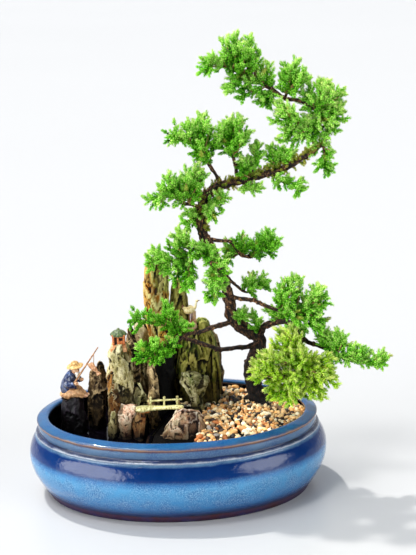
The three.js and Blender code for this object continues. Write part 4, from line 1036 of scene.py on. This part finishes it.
def make_wood():
    parts, tints = [], []

    def grow(points, sides, spacing, seed, scale):
        body = limb(points, sides, spacing, bark_bump(seed, scale))
        rows, _ = smooth_line(points, spacing)
        middle = rows[np.minimum(np.arange(len(body[0])) // sides, len(rows) - 1)]
        out = np.linalg.norm(body[0] - middle[:, :3], axis=1) / np.maximum(middle[:, 3], 0.3)
        parts.append(body)
        # The tint paints shade into the bark's hollows.
        tints.append(grey(step(out, 0.75, 0.7)))

    grow(TRUNK, 48, 1.0, 3, 1.0)
    for i, points in enumerate(BRANCHES.values()):
        if points[0][3] > 2.9:
            grow(points, 24, 1.0, 20 + i, 0.7)
        else:
            grow(points, 16, 1.2, 20 + i, 0.5)
    for i, (spine, _) in enumerate(SPRAYS.values()):
        short = np.array(spine, float)
        short[-1] = (short[-1] + short[-2]) / 2
        sizes = np.linspace(1.35, 0.6, len(spine))
        grow([[*point, size] for point, size in zip(short, sizes)], 10, 1.4, 60 + i, 0.3)
    piece("juniper_bark", merged(parts), bark_material(), "bark", "juniper_wood", tints=np.concatenate(tints))


# The foliage

def shoot(root, tip, random, needle, width, open_angle, core):
    """A finger of pressed needles from root to tip, as corners, faces and how near the tip each corner is,
    with a painted highlight on the needles' points and painted shade at their bases and on the core.
    """
    length = np.linalg.norm(tip - root)
    axis = (tip - root) / length
    side = unit_of(np.cross(axis, [0.3, 0.2, 0.93]))
    over = np.cross(axis, side)
    bow = (random.normal() * side + random.normal() * over) * 0.07 * length
    whorls = max(4, int(length / WHORL_SPACING))
    along = np.concatenate([np.repeat((np.arange(whorls) + 0.3) / whorls, 3), np.full(3, 0.97)])
    count = len(along)
    i = np.arange(count)
    angle = i * 2 * math.pi / 3 + (i // 3 % 2) * math.pi / 3 + random.uniform(0, ANY_TURN)
    middle = root + along[:, None] * (tip - root) + np.sin(along * math.pi)[:, None] * bow
    radial = np.cos(angle)[:, None] * side + np.sin(angle)[:, None] * over
    across = -np.sin(angle)[:, None] * side + np.cos(angle)[:, None] * over
    spread = np.radians(open_angle) * (1.15 - 0.7 * along ** 2) * random.uniform(0.75, 1.25, count)
    swell = 0.75 + 0.5 * np.sin(math.pi * np.clip(along * 0.85 + 0.1, 0, 1)) - 0.35 * along ** 6
    heading = np.cos(spread)[:, None] * axis + np.sin(spread)[:, None] * radial
    size = (needle * (1 - 0.2 * along ** 3) * random.uniform(0.85, 1.15, count))[:, None]
    half = (width * swell / 2)[:, None]
    base = middle + radial * (core * swell)[:, None]
    left = base + across * half - heading * 0.1 * size
    right = base - across * half - heading * 0.1 * size
    back = base + radial * half * 0.9 + heading * 0.35 * size
    corners = np.stack([left, right, back, base + heading * size], 1).reshape(-1, 3)
    faces = np.concatenate([i[:, None] * 4 + np.array(face) for face in ([0, 2, 3], [2, 1, 3], [1, 2, 0])])
    share = 0.42 + 0.45 * along
    near = np.stack([share * 0.6, share * 0.6, share * 0.9, np.minimum(share + 0.35, 1)], 1).reshape(-1)
    turn = angles_round(5)
    ring = np.cos(turn)[:, None] * side + np.sin(turn)[:, None] * over
    heights = np.array([0.0, 0.45, 0.97])
    stalk, sheath = tube(np.array([
        root + t * (tip - root) + math.sin(t * math.pi) * bow + ring * core * r
        for t, r in zip(heights, (0.7, 1.1, 0.6))
    ]))
    near = np.concatenate([near, np.repeat(0.15 + 0.3 * heights, 5), [0.1, 0.6]])
    return np.concatenate([corners, stalk]), np.concatenate([faces, sheath + len(corners)]), near


def shoot_tints(near, random, dry_share):
    own = random.random()
    dry = DRY * (random.random() < dry_share)
    return np.stack([near, np.full(len(near), own), np.full(len(near), dry)], -1)


def spread_over(count, random):
    """Directions spread evenly over a ball, from the top down."""
    i = np.arange(count) + 0.5
    down = np.arccos(1 - 2 * i / count)
    around = math.pi * (1 + 5 ** 0.5) * i + random.uniform(0, ANY_TURN)
    return np.stack([np.sin(down) * np.cos(around), np.sin(down) * np.sin(around), np.cos(down)], -1)


def make_spray(name, spine, lobes, seed, rocks, materials):
    """One spray's leaves, with the twigs that carry them returned as points for limbs."""
    random = np.random.default_rng(seed)
    colours, *form, shade = LEAFAGE.get(name, USUAL)
    line, _ = smooth_line(spine, 2.0)
    parts, tints, twigs = [], [], []
    heart, reach_of_lobe = np.zeros(3), np.ones(3)

    def finger(root, tip, level):
        """One shoot, with painted shade: darker the deeper it sits in its lobe."""
        if tip[2] < LEAVES_FROM or inside(rocks, tip, 0.6):
            return
        level = level * np.clip(0.42 + 0.66 * np.linalg.norm((tip - heart) / reach_of_lobe), 0.5, 1.15)
        corners, faces, near = shoot(root, tip, random, *form)
        parts.append((corners, faces))
        tints.append(shoot_tints(np.clip(near * level * shade, 0, 1), random, 0.012))

    def hand(start, end, level):
        """A twig that ends in a finger and carries shorter ones all round its outer part."""
        along = end - start
        long = max(np.linalg.norm(along), 5.0)
        along = along / long
        side = unit_of(np.cross(along, [0.2, 0.3, 0.9]))
        over = np.cross(along, side)
        turn = random.uniform(0, ANY_TURN)
        bend = (start + end) / 2 + random.normal(size=3) * 0.05 * long
        twigs.append([[*start, 0.85], [*bend, 0.65], [*(end - along * 3), 0.4]])
        finger(end - along * min(long, 10.0), end, level)
        for k in range(int(np.clip((long - 3) / TWIG_SPACING, 2, 8))):
            back = 2.6 + TWIG_SPACING * k + random.uniform(-0.6, 0.6)
            turn += 2.4
            out = math.cos(turn) * side + math.sin(turn) * over + np.array([0, 0, 0.2])
            heading = unit_of(along + out * random.uniform(0.65, 1.0))
            root = end - along * back
            reach = min(5.2 + 0.5 * back, 9.5) * random.uniform(0.85, 1.15)
            # Painted shade: fingers further back along the twig are darker.
            finger(root, root + heading * reach, level * (1.0 - 0.04 * k))

    for lobe in lobes:
        middle, radii = np.array(lobe[:3], float), np.array(lobe[3:], float)
        area = 4 * math.pi * (np.prod(radii) ** (2 / 3))
        heart[:], reach_of_lobe[:] = middle, radii
        for direction in spread_over(max(7, int(area / TWIG_AREA)), random):
            aim = unit_of(direction + random.normal(size=3) * 0.25 + [0, 0, 0.2])
            end = middle + aim * radii * random.uniform(0.78, 1.18)
            gaps = np.linalg.norm(line - end, axis=1)
            near = int(np.argmin(gaps))
            start = line[max(0, near - int(gaps[near] * random.uniform(0.15, 0.45)))]
            # Painted light: twigs that point up are lighter.
            hand(start, end, 0.88 + 0.35 * max(aim[2], -0.6))

    for i in range(3 if len(line) > 8 else 2, len(line)):
        ahead = unit_of(line[min(i + 1, len(line) - 1)] - line[i - 1])
        for _ in range(2):
            aim = random.normal(size=3) + [0, 0, 0.5]
            aim -= ahead * aim.dot(ahead)
            aim = unit_of(unit_of(aim) + ahead * random.uniform(0.2, 1.0))
            # Painted shade: shoots on the spine, inside the spray, are darker.
            finger(line[i], line[i] + aim * random.uniform(6, 10.5), 0.85)
    piece("leaves_" + name, merged(parts), materials[colours], "foliage", "foliage_" + name,
          tints=np.concatenate(tints), smooth=False)
    return twigs


def leaves_on_branch(material):
    """The small shoots that sprout all along the crown branch."""
    random = np.random.default_rng(77)
    line, _ = smooth_line(TRUNK, 1.6)
    parts, tints = [], []
    for i in range(len(line) - 2):
        if line[i, 2] < SPROUTS_FROM:
            continue
        ahead = unit_of(line[i + 1, :3] - line[i, :3])
        for _ in range(2):
            aim = random.normal(size=3) + [0, 0, 0.8]
            aim = unit_of(aim - ahead * aim.dot(ahead))
            root = line[i, :3] + aim * line[i, 3] * 0.85
            heading = unit_of(aim + ahead * random.uniform(-0.2, 0.8))
            corners, faces, near = shoot(root, root + heading * random.uniform(3.0, 6.0), random, *SPROUT)
            parts.append((corners, faces))
            tints.append(shoot_tints(near, random, 0.35))
    piece("leaves_on_branch", merged(parts), material, "foliage", tints=np.concatenate(tints), smooth=False)


def make_foliage(rocks):
    materials = {name: leaf_material(name) for name in LEAVES}
    twigs = []
    for i, (name, (spine, lobes)) in enumerate(SPRAYS.items()):
        twigs += make_spray(name, spine, lobes, 500 + i, rocks, materials)
    leaves_on_branch(materials["branch_leaves"])
    piece("twigs", merged([limb(points, 5, 3.0) for points in twigs]), clay("twig_bark"), "bark")


# The small figures

def lathe(rows, sides, ripple, sag=0.0):
    """Rings round the z axis from rows of [radius, z]; ripple and sag are made of the angle and radius."""
    angle = angles_round(sides)
    rings = []
    for radius, z in rows:
        wide = radius * ripple(angle, radius)
        lift = z + (sag(angle, radius) if sag else 0 * angle)
        rings.append(np.stack([wide * np.cos(angle), wide * np.sin(angle), lift], -1))
    return np.array(rings)


def make_bridge():
    at = Place(0, -18, 0)
    parts = [at.limb([
        [-40, 0, 89.6, 2.2], [-34, 0, 89.4, 3.2], [-24, 0, 90.0, 2.4], [-10, 0, 90.2, 1.9], [2, 0, 90.2, 2.1],
        [6, 0, 89.8, 1.6],
    ], 24, 0.8, lambda a, d, r: 0.12 * np.sin(d * 2.4), 1.9)]
    for x in (-25.5, -12, 1):
        post = [[x, 2.6, 89.5, 1.15], [x + 0.2, 2.6, 95, 0.95], [x + 0.4, 2.6, 99.2, 1.1]]
        parts += [at.limb(post, 12, 0.8), at.ball([x + 0.4, 2.6, 100.0], [1.35, 1.3, 1.2], 14, 8)]
    parts.append(at.limb([[-29, 2.6, 96.4, 0.8], [-12, 2.6, 97.0, 0.9], [6, 2.6, 97.4, 0.85]], 12, 0.8))
    parts.append(at.ball([4.6, -0.4, 90.6], [3.0, 3.4, 1.9], 20, 10))
    piece("footbridge", merged(parts), clay("bridge_clay"), "bridge_clay", "bridge")
    under = at.ball([-31.5, -0.5, 87.6], [6.0, 4.0, 2.4], 20, 10, None, lambda p: 0.06 * rough(p, 0.6, 2, 5))
    piece("footbridge_underside", under, clay("bridge_underside"), "bridge_clay")


def make_house():
    at = Place(-55, 4, 0)
    walls = [at.slab(*block) for block in (
        ([-5.0, -5.2, 156], [2.0, 1.6, 9.6]), ([-0.4, -5.3, 156], [1.8, 1.8, 9.6]),
        ([5.4, -5.2, 156], [1.8, 1.6, 9.6]), ([2.6, -5.0, 153.4], [5.4, 1.4, 4.4]),
        ([2.6, -5.0, 159.6], [5.4, 1.4, 2.2]), ([-2.8, -5.0, 160.0], [4.0, 1.4, 1.6]),
        ([-5.6, 0, 156], [1.2, 11, 9.6]), ([5.8, 0, 156], [1.2, 11, 9.6]), ([0, 5.4, 156], [12.4, 1.2, 9.6]),
        ([2.6, -5.6, 155.4], [3.6, 0.8, 0.8], 0.2), ([0, -5.2, 160.9], [13.2, 2.2, 1.2], 0.4),
    )]
    piece("pavilion_walls", merged(walls), clay("pavilion_walls"), "pavilion_glaze", "house")
    # Painted shade: a near-black block inside the walls stands for the dark room seen through the openings.
    piece("pavilion_shade_block", at.slab([0, 0, 156], [10.2, 9.4, 9.4]), clay("pavilion_painted_shade"), "pavilion_glaze")
    base = [at.slab([0, 0, 149.4], [15.2, 14.2, 3.6], 0.8), at.slab([0, 0, 146.4], [16.6, 15.2, 4.4], 1.0)]
    piece("pavilion_base", merged(base), clay("pavilion_base"), "pavilion_glaze")
    rows = [
        [0.4, -0.9], [0.96, -0.8], [1.0, 0.1], [0.97, 0.8], [0.86, 1.9], [0.68, 3.1], [0.46, 4.1], [0.28, 4.7],
        [0.16, 5.0], [0.2, 5.6], [0.12, 6.4], [0.02, 6.7],
    ]
    roof = lathe([[8.1 * reach, lift] for reach, lift in rows], 80,
                 lambda a, radius: 1 + 0.05 * np.cos(a * 12) * (radius > 2.43))
    piece("pavilion_roof", tube(roof + [-55, 4, 160.9]), clay("pavilion_roof"), "pavilion_glaze")


def make_crane():
    at = Place(16, 37, 171)
    body = [
        at.ball([0, 0, 2.4], [6.2, 4.2, 4.0], 28, 16, turned("Y", -14)),
        at.limb([[-3.5, 0, 3, 2.6], [-6.5, 0, 6, 1.6], [-8.4, 0, 9, 0.6]], 14, 0.8, None, 0.8),
        at.limb([[3.6, 0, 3, 2.2], [6.0, 0, 5.4, 1.3], [6.6, 0, 8.6, 1.0], [7.4, 0, 11, 0.95]], 14, 0.7),
        at.ball([7.7, 0, 11.8], [1.6, 1.3, 1.3], 16, 10),
        *(at.ball([-1.2, y, 3.2], [5.0, 1.2, 3.0], 22, 12, turned("Y", -26)) for y in (-3.4, 3.4)),
    ]
    piece("crane_body", merged(body), clay("crane_cream"), "crane_clay", "crane")
    marks = [
        at.limb([[8.6, 0, 12, 0.6], [11.2, 0, 12.6, 0.15]], 8, 0.6),
        at.ball([-6.8, 0, 6.6], [1.4, 1.7, 2.4], 14, 8, turned("Y", 40)),
        *(at.limb([[x, 0, -11, 0.75], [x + 0.3, 0, 0.4, 0.7]], 8, 1.0) for x in (-0.6, 1.2)),
    ]
    piece("crane_marks", merged(marks), clay("crane_marks"), "crane_clay")
    stump = at.limb([[4.4, 2, -13, 2.6], [4.2, 2, -6, 2.1], [4.6, 2, 0.5, 1.8]], 18, 0.8,
                    lambda a, d, r: 0.18 * np.sin(a * 5 + d) + 0.12 * np.sin(d * 1.7))
    foot = at.ball([0, 0, -14.6], [7.6, 6.8, 5.0], 28, 14, None, lambda p: 0.10 * rough(p, 0.7, 3, 8))
    piece("crane_stump", merged([stump, foot]), clay("crane_base"), "crane_clay")


def folds(a, d, r):
    return 0.35 * np.sin(a * 5 + d * 0.5) + 0.2 * np.sin(d * 1.1 + a * 2)


def make_fisherman():
    at = Place(-104, 8, 95)
    jacket = [
        at.limb([[-5, 2, 2, 7.0], [-4.4, 1.6, 8, 8.2], [-3, 1, 15, 8.0], [-1, 0, 22, 6.0], [1, -1, 27, 3.4]],
                36, 0.8, folds, 0.9),
        at.limb([[-4, -4.6, 23, 3.4], [-4.4, -8.6, 17.5, 3.3], [-1, -9.6, 15.4, 3.0], [2.4, -9.4, 16.4, 2.9]],
                22, 0.7, folds),
        at.limb([[0, 4, 22.5, 3.2], [5, 3, 18.5, 3.0], [8, -1, 18.6, 2.8]], 22, 0.7, folds),
    ]
    piece("fisher_jacket", merged(jacket), clay("jacket_glaze"), "figure_glaze", "fisherman")
    trousers = [
        at.limb([[-6, -1.5, 3, 5.0], [1, -6.6, 6.6, 4.3], [6, -6.6, 5.4, 3.4], [10.5, -5.6, 2.8, 2.7]],
                26, 0.8, folds, 0.92),
        at.limb([[-6, 4, 3, 5.0], [3, 4, 7.4, 4.0], [8, 1, 5.4, 3.2], [12, -1, 3, 2.6]], 26, 0.8, folds, 0.92),
        at.ball([-5.5, 1.5, 2.8], [8.4, 7.6, 4.6], 30, 14),
    ]
    piece("fisher_trousers", merged(trousers), clay("trousers_clay"), "figure_glaze")
    skin = [
        at.ball([4, -2, 29.6], [4.0, 3.9, 4.8], 26, 18), at.ball([6.4, -5.0, 29.4], [0.8, 0.9, 1.2], 10, 8),
        at.ball([0.8, -3.6, 29.6], [0.8, 0.6, 1.3], 10, 8),
        at.limb([[1.6, -1, 24, 2.4], [3, -1.6, 28, 2.3]], 16, 0.8),
        at.ball([4.6, -9.4, 17.2], [2.5, 1.9, 1.9], 16, 10),
        at.ball([9.6, -3.6, 19.6], [2.3, 1.9, 1.9], 16, 10),
        at.ball([12.4, -5.2, 2.4], [3.0, 1.8, 1.6], 16, 10),
        at.ball([13.8, -1.0, 2.6], [2.8, 1.8, 1.6], 16, 10),
        *(at.limb([[4.6 + x, -11.0, 16.2, 0.55], [5.0 + x, -10.6, 18.6, 0.5]], 8, 0.5) for x in (0, 0.9, 1.8)),
    ]
    piece("fisher_face", merged(skin), clay("face_clay"), "figure_glaze")
    beard = at.limb([[5.6, -3.6, 27.4, 2.6], [6.2, -4.8, 24, 2.2], [6.4, -5.4, 20, 0.6]], 16, 0.6,
                    lambda a, d, r: 0.2 * np.sin(a * 7 + d))
    brows = [at.ball([x, y, 31.4], [0.9, 0.5, 0.35], 8, 6) for x, y in ((4.6, -5.6), (7.2, -4.4))]
    piece("fisher_beard", merged([beard, *brows]), clay("beard_clay"), "figure_glaze")
    eyes = [at.ball([x, y, 30.4], [0.42, 0.36, 0.36], 8, 6) for x, y in ((4.8, -5.7), (7.2, -4.5))]
    piece("fisher_eyes", merged(eyes), clay("eye_glaze"), "figure_glaze")
    rows = [
        [0.5, -0.8], [7.4, -1.4], [8.3, -1.0], [8.4, -0.5], [7.2, -0.1], [4.9, 0.7], [4.3, 1.4], [4.0, 2.6],
        [3.2, 3.8], [1.9, 4.5], [0.4, 4.7],
    ]
    hat = lathe(rows, 72, lambda a, radius: 1 + 0.012 * np.cos(a * 24),
                lambda a, radius: 0.35 * np.sin(a * 3 + 1) * (radius / 8.4) ** 2)
    hat = hat @ turned("Y", -7).T @ turned("X", 5).T + at.origin + [3.6, -2, 34]
    piece("fisher_hat", tube(hat), clay("straw_hat"), "figure_glaze")


def make_rod():
    pole = limb([[-106, -1, 106, 1.0], [-90, 1.7, 128.4, 0.85], [-76, 4, 148, 0.55]], 12, 0.8,
                lambda a, d, r: 0.12 * np.exp(-((d % 9) - 4.5) ** 2 * 4))
    line = limb([[-80.5, 3.2, 141.7, 0.34], [-81, 3.6, 134, 0.34], [-81.5, 4, 127.6, 0.34]], 8, 1.0)
    piece("rod_and_line", merged([pole, line]), clay("rod_wood"), "rod_wood", "fishing_rod")
    at = Place(-82, 4, 126.5)
    body = [
        [-4.9, 0, 4.4, 0.7], [-3.6, 0, 3.4, 2.0], [-1, 0, 1.2, 2.8], [1.4, 0, -1.4, 2.5], [3.6, 0, -4, 1.3],
    ]
    fish = [
        at.limb(body, 22, 0.5, lambda a, d, r: 0.06 * np.sin(d * 5) * np.cos(a * 6), 0.75),
        at.limb([[3.2, 0, -3.6, 1.0], [4.6, 0, -5.6, 1.9], [5.6, 0, -7.6, 2.6]], 16, 0.6, None, 0.3),
        at.ball([-0.4, 0, 4.0], [2.4, 0.5, 1.6], 14, 8, turned("Y", 42)),
    ]
    piece("fish_body", merged(fish), clay("fish_clay"), "fish_clay", "fish")


# The studio and the camera

def make_studio():
    mesh = bpy.data.meshes.new("floor")
    size = FLOOR_REACH
    corners = [(-size, -size, 0), (size, -size, 0), (size, size, 0), (-size, size, 0)]
    mesh.from_pydata(corners, [], [(0, 1, 2, 3)])
    floor = put("floor", mesh)
    n = look("floor")
    colour = n.ramp(n.grain(0.5, 1), (0.3, 185, 185, 184), (0.7, 187, 187, 186))
    mesh.materials.append(n.finish(colour, 0.3, Specular_IOR_Level=0.5))
    sky = Nodes(bpy.data.worlds.new("studio"))
    height = sky.axis("Y", "Generated")
    shade = sky.ramp(height, (0.0, 84, 98, 122), (0.2, 110, 122, 142), (0.9, 232, 234, 238))
    background = sky.tree.nodes["Background"].inputs
    sky.feed(background["Color"], shade)
    background["Strength"].default_value = 1.0
    bpy.context.scene.world = sky.owner
    for name, (toward, strength, spread, colour) in LAMPS.items():
        data = bpy.data.lights.new(name, "SUN")
        data.energy = strength
        data.angle = math.radians(spread)
        data.color = colour
        put(name, data).rotation_euler = Vector(toward).to_track_quat("Z", "Y").to_euler()


def make_camera():
    tilt = math.radians(CAMERA_TILT)
    back = Vector((0, -math.cos(tilt), math.sin(tilt)))
    right = Vector((1, 0, 0))
    data = bpy.data.cameras.new("camera")
    data.lens = CAMERA_LENS
    data.sensor_width = CAMERA_SENSOR
    data.clip_end = 200
    camera = put("camera", data)
    turn = Matrix((right, back.cross(right), back)).transposed()
    turn = turn @ Matrix.Rotation(math.radians(CAMERA_ROLL), 3, "Z")
    place = (Vector(CAMERA_TARGET) + back * CAMERA_DISTANCE) * MM
    camera.matrix_world = Matrix.Translation(place) @ turn.to_4x4()
    bpy.context.scene.camera = camera


make_pot()
make_water()
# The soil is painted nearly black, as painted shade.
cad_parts["soil"].data.materials.clear()
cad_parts["soil"].data.materials.append(shaded_soil_material())
make_bed()
graph = bpy.context.evaluated_depsgraph_get()
rock_skins = [BVHTree.FromObject(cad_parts["rock_" + name], graph) for name in ROCKS]
make_pebbles(rock_skins)
make_rocks()
make_wood()
make_foliage(rock_skins)
make_bridge()
make_house()
make_crane()
make_fisherman()
make_rod()
make_studio()
make_camera()

bpy.context.scene.view_settings.view_transform = "Standard"
